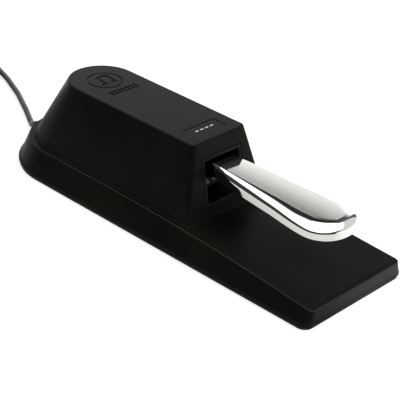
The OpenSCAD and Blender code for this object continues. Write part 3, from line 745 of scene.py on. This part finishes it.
def housing():
    """The case: base and tower in one moulding, hollow, with its opening, recesses and engraving."""
    shell = stacked("housing_shell", BASE_PLACES, base_rows)
    combine(shell, stacked("tower", TOWER_PLACES, tower_rows), "UNION")
    combine(shell, stacked("base_hollow", BASE_PLACES, base_hollow_rows))
    combine(shell, stacked("tower_hollow", TOWER_PLACES, tower_hollow_rows))
    combine(shell, opening_cutter())
    gap = 0.15
    near, far = label_low.y - gap, label_high.y + gap
    combine(shell, level_block("label_recess", label_high.x + gap, near, far, label_low.z, CUT_TOP, gap))
    for cutter in emblem_cutters() + key_cutters():
        combine(shell, cutter)
    profile = ((0, 0), (3.6, 0), (3.6, 14), (0, 14))
    combine(shell, lathe("cable_hole", profile, (0, REAR_Y - 12, EXIT_Z), Y_AXIS, 48))
    place(smooth(shell, 30), "housing_plastic", "upper_case")


def bezel():
    """Frame in the opening: a rounded lip in front and a straight sleeve behind."""
    rim, lip, inner, sink, deep = 2.2, 0.5, 0.6, 0.1, 12.0
    rounds = quarter(5)[1:-1]
    profile = [(0.0, deep), (0.0, sink + lip)]
    profile += [(lip * (1 - cosine), sink + lip * (1 - sine)) for sine, cosine in rounds]
    profile += [(lip, sink), (rim - inner, sink)]
    profile += [(rim - inner * (1 - sine), sink + inner * (1 - cosine)) for sine, cosine in rounds]
    profile += [(rim, sink + inner), (rim, deep)]
    rings = []
    for inset, depth in profile:
        radius = max(1.0 - 0.3 * inset, 0.35)
        rings.append(rounded_rectangle(
            bezel_high.x - inset, bezel_low.z + inset, bezel_high.z - inset, radius, depth))
    place(smooth(loft("bezel_frame", rings, band=True), 40), "bezel_plastic", "opening_bezel")


def guide_domes():
    """Two nylon pins whose round ends stand out of the bezel's side walls."""
    low, high = box_mm("guide_buttons")
    middle = (low + high) / 2
    radius = (high.z - low.z) / 2
    shank = 3.8
    profile = [(0, 0), (radius, 0), (radius, shank)]
    profile += [(radius * cosine, shank + radius * sine) for sine, cosine in quarter(8)[1:-1]]
    profile.append((0, shank + radius))
    pins = [lathe("guide_pin", profile, (side * high.x, middle.y, middle.z), -side * X_AXIS, 40)
            for side in (-1, 1)]
    obj = smooth(join("guide_pins", pins), 50, False)
    place(obj, "nylon", "guide_buttons", material="guide_nylon")


def label():
    """The film in the label recess and its printed marks, four plain dashes."""
    near, far, top = label_low.y, label_high.y, label_high.z
    panel = level_block("label_panel", label_high.x, near, far, label_low.z, top, -0.08)
    bevel(panel, 0.08)
    place(smooth(panel, 30), "label_film", "label_plate")
    middle, pitch, half_long, half_wide, ink = (near + far) / 2, 4.2, 1.3, 0.35, 0.05
    dashes = []
    for k in (-1.5, -0.5, 0.5, 1.5):
        dash = level_block("dash", half_long, middle - half_wide, middle + half_wide, top - ink, top + ink)
        dashes.append(shifted(dash, pitch * k, 0))
    marks = join("label_marks", dashes)
    bevel(marks, 0.04)
    place(smooth(marks, 30), "label_film", material="print_ink")


housing()
bezel()
guide_domes()
label()


# ---------------------------------------------------------------- pedal lever

LEVER_CROWN = 0.6
TOP_COLUMNS = 14
FLARE = 0.119
TIP_POWER = 2.14
ROLL_DROP = 5.0


def lever_half(y):
    """Half the lever's width behind its widest place: neck, soft bend, steady flare, then easing off."""
    bend = 16.0
    t = NECK_Y + bend / 2 - y
    if t <= 0:
        return NECK_HALF_W
    if t < bend:
        return NECK_HALF_W + FLARE * t * t / (2 * bend)
    if y > FLARE_Y:
        return NECK_HALF_W + FLARE * (NECK_Y - y)
    span = FLARE_Y - WIDE_Y
    t = (FLARE_Y - y) / span
    start = NECK_HALF_W + FLARE * (NECK_Y - FLARE_Y)
    rise = 3 * t * t - 2 * t ** 3
    return start * (1 - rise) + LEVER_HALF_W * rise + FLARE * span * (t ** 3 - 2 * t * t + t)


def lever_outline():
    """Right edge of the lever from the inner end of its neck to the middle of its tip."""
    points = [Vector((lever_half(y), y)) for y in frange(0.0, WIDE_Y, 40)]
    for sine, cosine in quarter(34)[1:]:
        x = LEVER_HALF_W * max(cosine, 0) ** (2 / TIP_POWER)
        points.append(Vector((x, WIDE_Y - (WIDE_Y - TIP_Y) * sine ** (2 / TIP_POWER))))
    points[-1].x = 0.0
    return points


def top_height(x, y):
    """Height of the lever's gently crowned, gently falling top."""
    fall = LEVER_DROP / (NECK_Y - TIP_Y) * max(NECK_Y - y, 0)
    return LEVER_TOP - fall - LEVER_CROWN * (x / LEVER_HALF_W) ** 2


def roll_width(y, out):
    """How far the rolled edge reaches in: narrow at the neck, wide along the flared part and at the tip."""
    along = min(max((NECK_Y - y) / (NECK_Y - WIDE_Y), 0.0), 1.0)
    side = 2.6 + 6.2 * along ** 1.15
    front = 6.8
    turn = max(-out.y, 0.0) ** 4
    return side * (1 - turn) + front * turn


def lever_section(point, out):
    """The edge's cross-section at one place, from the flat top round to the flat underside."""
    width = roll_width(point.y, out)
    base = top_height(0, point.y)
    start = math.atan(math.tan(math.radians(4.0)) * width / ROLL_DROP)
    scale_x = width / (1 - math.sin(start))
    scale_z = ROLL_DROP / math.cos(start)
    # Steps inward from the outline and down from the top
    steps = [(width - scale_x * (math.sin(a) - math.sin(start)), scale_z * (math.cos(start) - math.cos(a)))
             for a in frange(start, math.pi / 2, 22)]
    lip = 0.15
    corner = LEVER_DEPTH - lip
    rounds = quarter(3)
    steps += [(0, (ROLL_DROP + corner) / 2), (0, corner - lip), (0, corner)]
    steps += [(lip * (1 - cosine), corner + lip * sine) for sine, cosine in rounds[1:]]
    steps += [(LEVER_WALL - lip * (1 - sine), corner + lip * cosine) for sine, cosine in rounds[:-1]]
    steps += [(LEVER_WALL, corner), (LEVER_WALL, corner - lip)]
    inner_x, inner_z = max(width - LEVER_WALL, 1.0), ROLL_DROP - LEVER_WALL
    steps += [(LEVER_WALL + inner_x * (1 - cosine), LEVER_WALL + inner_z * (1 - sine))
              for sine, cosine in quarter(4)]
    rows = []
    for inset, drop in steps:
        p = point - out * inset
        crown_drop = LEVER_CROWN * (p.x / LEVER_HALF_W) ** 2 * max(0.0, 1 - drop / LEVER_DEPTH)
        rows.append((p.x, p.y, base - crown_drop - drop))
    return rows


def lever():
    """The pressed metal lever: crowned top, growing edge radius, turned-down sides, hollow underneath."""
    edge = lever_outline()
    last = len(edge) - 1
    # Each point's neighbours: the tip's next one lies on the left edge
    before, after = edge[:1] + edge[:-1], edge[1:] + [Vector((-edge[-2].x, edge[-2].y))]
    half_sections = []
    for p, behind, ahead in zip(edge, before, after):
        along = ahead - behind
        half_sections.append(lever_section(p, Vector((-along.y, along.x)).normalized()))
    deep = len(half_sections[0])
    # One closed row of sections: right edge to the tip, then the left edge back
    sections = half_sections + [[(-x, y, z) for x, y, z in s] for s in half_sections[-2::-1]]
    points = [p for s in sections for p in s]
    faces = []
    for j in range(len(sections) - 1):
        for i in range(deep - 1):
            a, b = j * deep + i, (j + 1) * deep + i
            faces.append((a, a + 1, b + 1, b))
    # Crowned top and flat underside, as grids between the right and left edges
    total = len(sections)
    grid_faces = {}
    end_lines = {}
    for row in (0, deep - 1):
        grid = []
        for j in range(last + 1):
            right, left = j * deep + row, (total - 1 - j) * deep + row
            line = [right]
            for c in range(1, TOP_COLUMNS):
                if j == last:
                    line.append(right)
                    continue
                x, y, z = points[right]
                x *= 1 - 2 * c / TOP_COLUMNS
                line.append(len(points))
                points.append((x, y, z if row else top_height(x, y)))
            grid.append(line + [left])
        quads = [tuple(dict.fromkeys((near[c], near[c + 1], far[c + 1], far[c])))
                 for near, far in zip(grid, grid[1:]) for c in range(TOP_COLUMNS)]
        grid_faces[row] = [quad for quad in quads if len(quad) > 2]
        end_lines[row] = grid[0][1:-1]
    faces += grid_faces[deep - 1]
    # The neck's inner end: its wall's section, closed between the outer and inner outlines
    left_end = [(total - 1) * deep + i for i in range(deep)]
    faces.append((*range(deep), *end_lines[deep - 1], *left_end[::-1], *end_lines[0][::-1]))
    obj = outward(make_mesh("lever_shell", points, faces + grid_faces[0]))
    for name in ("lever_chrome", "lever_brushed"):
        obj.data.materials.append(materials[name])
    for polygon in obj.data.polygons[len(faces):]:
        polygon.material_index = 1
    hole, head = 2.05, 4.0
    profile = ((0, -6), (hole, -6), (hole, -1.85), (head, 0.1), (head, 1), (0, 1))
    for y in (-20.0, -3.0):
        combine(obj, lathe("screw_hole", profile, (0, y, LEVER_TOP), Z_AXIS, 40))
    smooth(obj, 40, False)
    # A crease where the two materials meet
    with editing(obj) as work:
        for border in work.edges:
            if len({face.material_index for face in border.link_faces}) > 1:
                border.smooth = False
    ride(obj, "lever", "lever_chrome", "pedal_lever")


lever()


# ---------------------------------------------------------------- underside


def rubber_mat():
    """The foot mat: rounded edge, screw holes and grip grooves underneath."""
    _, mat_high = box_mm("rubber_mat")
    inset = HALF_W - mat_high.x
    round_r, bevel_w = 0.5, 0.3
    depth = mat_high.z

    def mat_plan(station, _, inset):
        return plan_point(station, HALF_W - inset, FRONT_Y + inset, REAR_Y - inset, BASE_CORNER)

    steps = [(0, 0, -round_r), (0, 0.15, -0.15), (0, round_r, 0)]
    steps += [(0, depth - bevel_w, 0), (0, depth, -bevel_w)]
    mat = stacked("foot_mat", BASE_PLACES, lambda station: wall_points(mat_plan, station, steps, inset))
    for side in (-1, 1):
        for x, y in ((31, -122), (30, -48), (33.5, 36), (25, 114)):
            hole = loft("mat_hole", [circle(4.2, 40, z) for z in (-1, depth + 1)])
            combine(mat, shifted(hole, side * x, y))
    pitch, half_groove, groove_depth = 4.0, 1.0, 0.7
    widest, shortest = HALF_W - 8, 6
    first, last = FRONT_Y + 10, REAR_Y - 14
    for k in range(int((last - first) / pitch) + 1):
        y = first + pitch * k
        behind = max(y - REAR_Y + HALF_W, 0)
        reach = math.sqrt(max(widest ** 2 - behind ** 2, 0))
        if reach >= shortest:
            ring = ((y - half_groove, -0.3), (y + half_groove, -0.3), (y, groove_depth))
            combine(mat, loft("groove", [[(x, *p) for p in ring] for x in (-reach, reach)]))
    place(smooth(mat, 35), "mat_rubber", "rubber_mat")


rubber_mat()


# ---------------------------------------------------------------- spring and wiring


def return_spring():
    """Closed-end compression spring between its seat and the arm."""
    low, high = box_mm("return_spring")
    wire = 1.0
    mean = (high.x - low.x) / 2 - wire
    turns, per_turn = 6, 40
    centre_y = (low.y + high.y) / 2
    z0, z1 = low.z + wire, high.z - wire

    def ease(t):
        """The coil's rise, flattened in its first and last turn."""
        end = 0.09
        if t < 1:
            return end * t * t
        if t > turns - 1:
            return 1 - end * (turns - t) ** 2
        return end + (1 - 2 * end) * (t - 1) / (turns - 2)

    path = []
    for t in frange(0, turns, turns * per_turn):
        a = 2 * math.pi * t
        path.append(Vector((mean * math.cos(a), centre_y + mean * math.sin(a), z0 + (z1 - z0) * ease(t))))
    obj = smooth(tube("spring_coil", path, wire, 16), 50, False)
    place(obj, "spring_steel", "return_spring")
    seat_z = box_mm("spring_seat")[1].z - 5.0
    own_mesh(obj)


def bezier(a, b, c, d, t):
    u = 1 - t
    return a * u ** 3 + b * 3 * u * u * t + c * 3 * u * t * t + d * t ** 3


def lead_wires():
    """Three coloured leads from the sensor's terminals to the cable's end."""
    low, high = box_mm("sensor_terminals")
    cable_low, _ = box_mm("cable")
    for k, name in enumerate(("wire_red", "wire_white", "wire_black")):
        start = Vector(((low.x + high.x) / 2, (low.y + high.y) / 2 + 4 * (k - 1), low.z - 0.7))
        middle = Vector((22, 50, 7 + 1.6 * k))
        finish = Vector((0, cable_low.y - 0.1, EXIT_Z + 1.3 * (k - 1)))
        path = [bezier(start, start - 9 * Z_AXIS, middle - 20 * Y_AXIS, middle, t)
                for t in frange(0, 1, 24)[:-1]]
        path += [bezier(middle, middle + 34 * Y_AXIS, finish - 22 * Y_AXIS, finish, t)
                 for t in frange(0, 1, 32)]
        wire = smooth(tube("lead_" + name, path, 0.6, 12), 50, False)
        place(wire, "wire_jacket", material=name)
    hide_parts("lead_wires")


return_spring()
lead_wires()


# ---------------------------------------------------------------- cable and plug


def heading(h):
    return Vector((-math.sin(h), math.cos(h), 0))


def side_of(h):
    return Vector((-math.cos(h), -math.sin(h), 0))


def ease_in_out(t):
    return 3 * t * t - 2 * t ** 3


def run(steps, start):
    """Middle line of the cable: each step goes on, turns or rises from the last one's end.

    A turn has a radius and degrees, a straight has a length and a rise.
    """
    point, h = Vector(start), 0.0
    path = [point]
    for kind, size, amount in steps:
        begin = point
        if kind == "turn":
            angle = math.radians(amount)
            bend = math.copysign(size, amount)
            for t in frange(0, 1, max(2, int(abs(amount) / 4)))[1:]:
                path.append(begin + (side_of(h) - side_of(h + t * angle)) * bend)
            h += angle
        else:
            for t in frange(0, 1, max(1, int(size / 2)))[1:]:
                path.append(begin + heading(h) * (size * t) + Z_AXIS * (amount * ease_in_out(t)))
        point = path[-1]
    return path


LIE_Z = CABLE_R + 0.4
FALL_LEN = 13.0
COIL_R = 36.0
HALF_PITCH = (2 * CABLE_R + 0.6) / 2
HALF_TURNS = 6
HANDLE_R = 6.5
HOP = 2 * CABLE_R + 0.5


def cable():
    """The cable from inside the case, out of the rear, into its coil and on to the plug."""
    start_y = box_mm("cable")[0].y
    steps = [("go", REAR_Y + 6 - start_y, 0), ("turn", 14, -30), ("go", 26, 0), ("turn", 330, 14)]
    steps += [("turn", COIL_R - i * HALF_PITCH, 180) for i in range(HALF_TURNS)]
    steps += [("turn", COIL_R - HALF_TURNS * HALF_PITCH, 106), ("turn", 9, 90), ("go", 14, HOP),
              ("go", COIL_R + 3, 0), ("go", 14, -HOP), ("go", 1, 0), ("turn", 21, -180),
              ("go", 12, HANDLE_R - LIE_Z), ("go", 14, 0)]
    path = run(steps, (0, start_y, EXIT_Z))
    # It sinks to the floor as soon as it leaves the strain relief
    for point in path:
        fall = min(max((point.y - REAR_Y - 3.5) / FALL_LEN, 0), 1)
        point.z += (LIE_Z - EXIT_Z) * ease_in_out(fall)
    place(smooth(tube("cable_run", path, CABLE_R, 24), 50, False), "cable_jacket", "cable")


def grooves(first, pitch, count, radius, growth, groove):
    """Turned profile of evenly spaced grooves, the radius growing from one to the next."""
    profile = []
    for k in range(count):
        at, r = first + pitch * k, radius + growth * k
        profile += [(r + out, at + along) for out, along in groove]
    return profile


def grommet():
    """Strain relief at the rear: a flange inside, a tapered boot with flex grooves outside."""
    low, high = box_mm("cord_grommet")
    length = high.y - low.y
    profile = [(CABLE_HOLE, 0), (4.3, 0), (4.4, 0.2), (4.4, 1.2), (4.2, 1.4), (3.55, 1.4)]
    profile += [(3.55, length - 6.4), (3.6, length - 6.2)]
    groove = ((0, 0), (-0.45, 0.25), (-0.45, 0.5), (-0.1, 0.75))
    profile += grooves(length - 5.4, 1.3, 4, 3.5, -0.2, groove)
    profile += [(CABLE_R + 0.6, length - 0.2), (CABLE_R + 0.4, length), (CABLE_HOLE, length)]
    obj = smooth(lathe("cable_boot", profile, (0, low.y, EXIT_Z), Y_AXIS, 48), 40, False)
    place(obj, "mat_rubber", "cord_grommet", material="plug_grip")


def twist_tie():
    """A flat tie round one side of the coil, its two ends twisted together on the outside."""
    low, high = box_mm("coil_tie")
    turn = math.radians(74)
    out, wide = -side_of(turn), heading(turn)
    middle = (low + high) / 2
    middle.z = LIE_Z
    half = (HALF_TURNS / 2 - 1) * HALF_PITCH
    rings = []
    for gap, across in ((0.15, -2.0), (0.3, -2.0), (0.4, -1.85), (0.4, 1.85), (0.3, 2.0), (0.15, 2.0)):
        radius = CABLE_R + gap
        ring = []
        for centre, start in ((half, -90), (-half, 90)):
            for a in frange(math.radians(start), math.radians(start + 180), 12):
                spot = middle + out * (centre + radius * math.cos(a)) + Z_AXIS * (radius * math.sin(a))
                ring.append(spot + wide * across)
        rings.append(ring)
    parts = [loft("coil_twist_tie", rings, band=True)]
    twists, twisted, length = 2.5, 0.75, 8
    for phase in (0, math.pi):
        path = []
        for t in frange(0, 1, 36):
            splay = 0.5 + 1.2 * max(t - twisted, 0) / (1 - twisted)
            a = phase + 2 * math.pi * twists * min(t, twisted) / twisted
            spot = middle + out * (half + CABLE_R + 0.2 + length * t)
            path.append(spot + (wide * math.cos(a) + Z_AXIS * math.sin(a)) * splay)
        parts.append(tube("tie_end", path, 0.45, 10))
    obj = smooth(join("coil_twist_tie", parts), 40, False)
    place(obj, "clamp_nylon", "coil_tie", material="plug_black")


def plug():
    """The plug's turned and moulded parts along one axis."""
    low, high = box_mm("plug_handle")
    origin = Vector(((low.x + high.x) / 2, low.y, (low.z + high.z) / 2))
    length = high.y - low.y

    def span(node):
        """Where a part starts and ends along the plug, and its radius."""
        part_low, part_high = box_mm(node)
        return part_low.y - origin.y, part_high.y - origin.y, (part_high.x - part_low.x) / 2

    def turned(name, profile, slot, node):
        place(smooth(lathe(name, profile, origin, Y_AXIS), 35, False), slot, node)

    profile = [(CABLE_HOLE, 0), (2.9, 0), (3.1, 0.2)]
    profile += grooves(0.9, 1.9, 5, 3.2, 0.32, ((0, 0), (-0.5, 0.3), (-0.5, 0.7), (0.1, 1.0)))
    profile += [(5.0, 11.2), (5.7, 12.8), (6.25, 14.6), (HANDLE_R, 16.4)]
    profile += grooves(18.0, 1.9, 9, HANDLE_R, 0, ((0, 0), (-0.35, 0.35), (-0.35, 0.75), (0, 1.1)))
    profile += [(HANDLE_R, length - 1.5), (HANDLE_R - 0.2, length - 0.7), (HANDLE_R - 1, length),
                (CABLE_HOLE, length)]
    turned("plug_grip", profile, "plug_grip", "plug_handle")
    c0, c1, collar = span("plug_collar")
    _, s1, radius = span("plug_sleeve")
    r0, r1, _ = span("plug_ring")
    t0, t1, _ = span("plug_tip")
    edge = 0.12
    flange = [(0, c0), (collar, c0), (collar, c1 - 0.9), (collar - 0.25, c1 - 0.6)]
    flange += [(collar - 0.25, c1 - 0.25), (collar - 0.5, c1), (0, c1)]
    turned("plug_flange", flange, "plug_metal", "plug_collar")
    barrel = [(0, c1), (radius, c1), (radius, s1 - edge), (radius - edge, s1), (0, s1)]
    turned("plug_barrel", barrel, "plug_metal", "plug_sleeve")
    band = [(0, r0), (radius - edge, r0), (radius, r0 + edge)]
    band += [(radius, r1 - edge), (radius - edge, r1), (0, r1)]
    turned("plug_band", band, "plug_metal", "plug_ring")
    waist, shoulder, nose = 1.9, radius - 0.3, t0 + 3.2
    narrowing, widening = radius - waist, shoulder - waist
    point = [(0, t0), (radius - edge, t0), (radius, t0 + edge), (radius, t0 + 0.8)]
    bends = quarter(6)[1:]
    point += [(radius - narrowing * sine, t0 + 0.8 + 1.26 * (1 - cosine)) for sine, cosine in bends]
    point += [(waist + widening * (1 - cosine), t0 + 2.1 + 1.1 * sine) for sine, cosine in bends]
    point += [(shoulder * cosine ** 0.8, nose + (t1 - nose) * sine) for sine, cosine in quarter(8)[1:-1]]
    turned("plug_point", point + [(0, t1)], "plug_metal", "plug_tip")
    inner = radius - edge / 2
    rings = [lathe("insulator", [(0, a), (inner, a), (inner, b), (0, b)], origin, Y_AXIS)
             for a, b in ((s1, r0), (r1, t0))]
    place(smooth(join("plug_insulation", rings), 35, False), "plug_black", "plug_insulators")


cable()
grommet()
twist_tie()
plug()


# ---------------------------------------------------------------- CAD nodes that keep their shape

NODES_BY_LOOK = {
    "plate_steel": ("bottom_plate", "sensor_washer"),
    "screw_steel": ("case_screws", "chassis_screws", "lever_screws", "sector_screws", "clamp_screws"),
    "chassis_paint": ("chassis_bracket",),
    "shaft_steel": ("pivot_shaft", "upstop_rod", "downstop_rod", "sensor_shaft"),
    "spring_steel": ("shaft_clips",),
    "nylon": ("left_bushing", "right_bushing", "sector_gear", "spring_seat", "sensor_pinion"),
    "arm_steel": ("lever_arm",),
    "stop_rubber": ("upstop_sleeve", "downstop_sleeve"),
    "sensor_case": ("sensor_body",),
    "contact_brass": ("sensor_terminals", "sensor_nut"),
    "clamp_nylon": ("cord_clamp",),
}

for look_name, node_names in NODES_BY_LOOK.items():
    for node_name in node_names:
        for material_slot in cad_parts[node_name].material_slots:
            material_slot.material = materials[look_name]


# ---------------------------------------------------------------- floor, light and camera


def floor():
    """A wide pale floor. In reflections it is a sheet that ends to the left and in front."""
    size = 6000
    corners = [(-size, -size, 0), (size, -size, 0), (size, size, 0), (-size, size, 0)]
    obj = make_mesh("floor", corners, [(0, 1, 2, 3)])
    look = Look("floor_white", spec=0.0, Roughness=0.9, Emission_Color=(1, 1, 1))
    pale = look.mix(look.noise(3, 2), (0.85, 0.85, 0.85), (0.87, 0.87, 0.87))
    x, y = (look.split(look.coord)[k] for k in "XY")
    front = look.math("MAXIMUM", look.remap(y, -0.42, -0.34), look.remap(x, 0.0, 0.06))
    sheet = look.product(look.remap(x, -0.22, -0.16), front)
    lit = look.mix(look.remap(x, -0.02, 0.06), (0.70, 0.70, 0.69), (0.95, 0.95, 0.94))
    seen = look.mix(sheet, (0.03, 0.03, 0.03), lit)
    rays = look.new("LightPath").outputs
    # A lit strip just ahead of the housing, for its front face to mirror
    strip = look.product(look.remap(y, -0.175, -0.165), look.remap(y, -0.138, -0.137, 1, 0),
                         rays["Is Glossy Ray"], look.remap(x, -0.04, 0.02, 0, 1.15))
    glow = look.math("ADD", look.product(rays["Is Camera Ray"], 0.6), strip)
    look.link(glow, look.shader, "Emission Strength")
    pale = look.mix(rays["Is Camera Ray"], pale, (0.5, 0.5, 0.5))
    look.link(look.mix(rays["Is Glossy Ray"], pale, seen), look.shader, "Base Color")
    obj.data.materials.append(materials["floor_white"])


class Sky(Nodes):
    """The studio's surroundings as a pattern of brightness over direction."""

    def __init__(self):
        world = bpy.data.worlds.new("studio")
        bpy.context.scene.world = world
        world.use_nodes = True
        world.cycles.sampling_method = "NONE"
        self.tree = world.node_tree
        self.tree.nodes.clear()
        toward = self.split(self.new("TexCoord").outputs["Generated"])
        self.x, self.y, self.z = (toward[k] for k in "XYZ")
        self.elevation = self.math("DEGREES", self.math("ARCSINE", self.z))
        self.azimuth = self.math("DEGREES", self.math("ARCTAN2", self.x, self.y))

    def above(self, value, edge, soft):
        """0 below an edge, 1 above it, smooth between."""
        return self.remap(value, edge - soft, edge + soft)

    def below(self, value, edge, soft):
        return self.remap(value, edge - soft, edge + soft, 1, 0)

    def blend(self, mask, under, over):
        return self.mix(mask, under, over, "FLOAT")


def studio():
    """Soft white room. Mirrors see its parts: bright ceiling, side screen, dark gaps above and beyond."""
    sky = Sky()
    level = sky.blend(sky.above(sky.elevation, 31, 3), 0.05, 2.4)
    # The side screen is a tall plane at +X with a level upper edge
    beside = sky.math("SUBTRACT", sky.product(sky.x, 0.9994), sky.product(sky.y, 0.0349))
    screen = sky.above(sky.math("SUBTRACT", sky.product(beside, 1.137), sky.z), 0.01, 0.012)
    # Dark gap above the backdrop, fading out toward the rear and the front
    rear_right = sky.above(sky.azimuth, 14, 12)
    gap = sky.product(rear_right, sky.below(sky.azimuth, 87, 1), sky.below(sky.elevation, 56, 3))
    level = sky.blend(gap, level, sky.blend(sky.above(sky.azimuth, 66, 6), 0.03, 0.12))
    # White backdrop behind the right side, fading upward into the gap
    backdrop = sky.product(rear_right, sky.below(sky.azimuth, 77, 2))
    level = sky.blend(sky.product(backdrop, sky.below(sky.elevation, 29.5, 7.5)), level, 1.5)
    level = sky.blend(sky.product(screen, sky.above(sky.azimuth, 87, 1)), level, 0.83)
    room = sky.blend(sky.above(sky.elevation, 35, 30), 0.8, 1.3)
    background = sky.new("Background")
    sky.link((1.0, 0.982, 0.955), background, "Color")
    sky.link(sky.blend(sky.new("LightPath").outputs["Is Glossy Ray"], room, level), background, "Strength")
    sky.link(background.outputs[0], sky.new("OutputWorld"), "Surface")


def key_light():
    """A soft square light from the front right. It is not seen in reflections."""
    location, target = Vector((0.7, -0.9, 1.3)), Vector((0.05, -0.1, 0))
    data = bpy.data.lights.new("key", "AREA")
    data.shape = "RECTANGLE"
    data.size = data.size_y = 0.8
    data.energy = 9
    obj = add_object("key", data)
    obj.location = location
    obj.rotation_mode = "QUATERNION"
    obj.rotation_quaternion = (target - location).to_track_quat("-Z", "Y")
    obj.visible_glossy = False
    obj.visible_camera = False


def camera():
    """The camera: a long lens, a little above, seen from the front left."""
    distance = 0.815054
    target = Vector((-0.020884, -0.030962, 0.030))
    azimuth, tilt, roll = -48.131, 90 - 29.364, 3.903
    turn = Matrix()
    for angle, axis in ((azimuth, "Z"), (tilt, "X"), (roll, "Z")):
        turn = turn @ Matrix.Rotation(math.radians(angle), 4, axis)
    data = bpy.data.cameras.new("camera")
    data.sensor_width = 36
    data.lens = 122.92
    data.clip_start, data.clip_end = 0.01, 50
    obj = add_object("camera", data)
    obj.matrix_world = Matrix.Translation(target) @ turn @ Matrix.Translation(Z_AXIS * distance)
    bpy.context.scene.camera = obj
    bpy.context.scene.view_settings.view_transform = "Standard"


floor()
studio()
key_light()
camera()
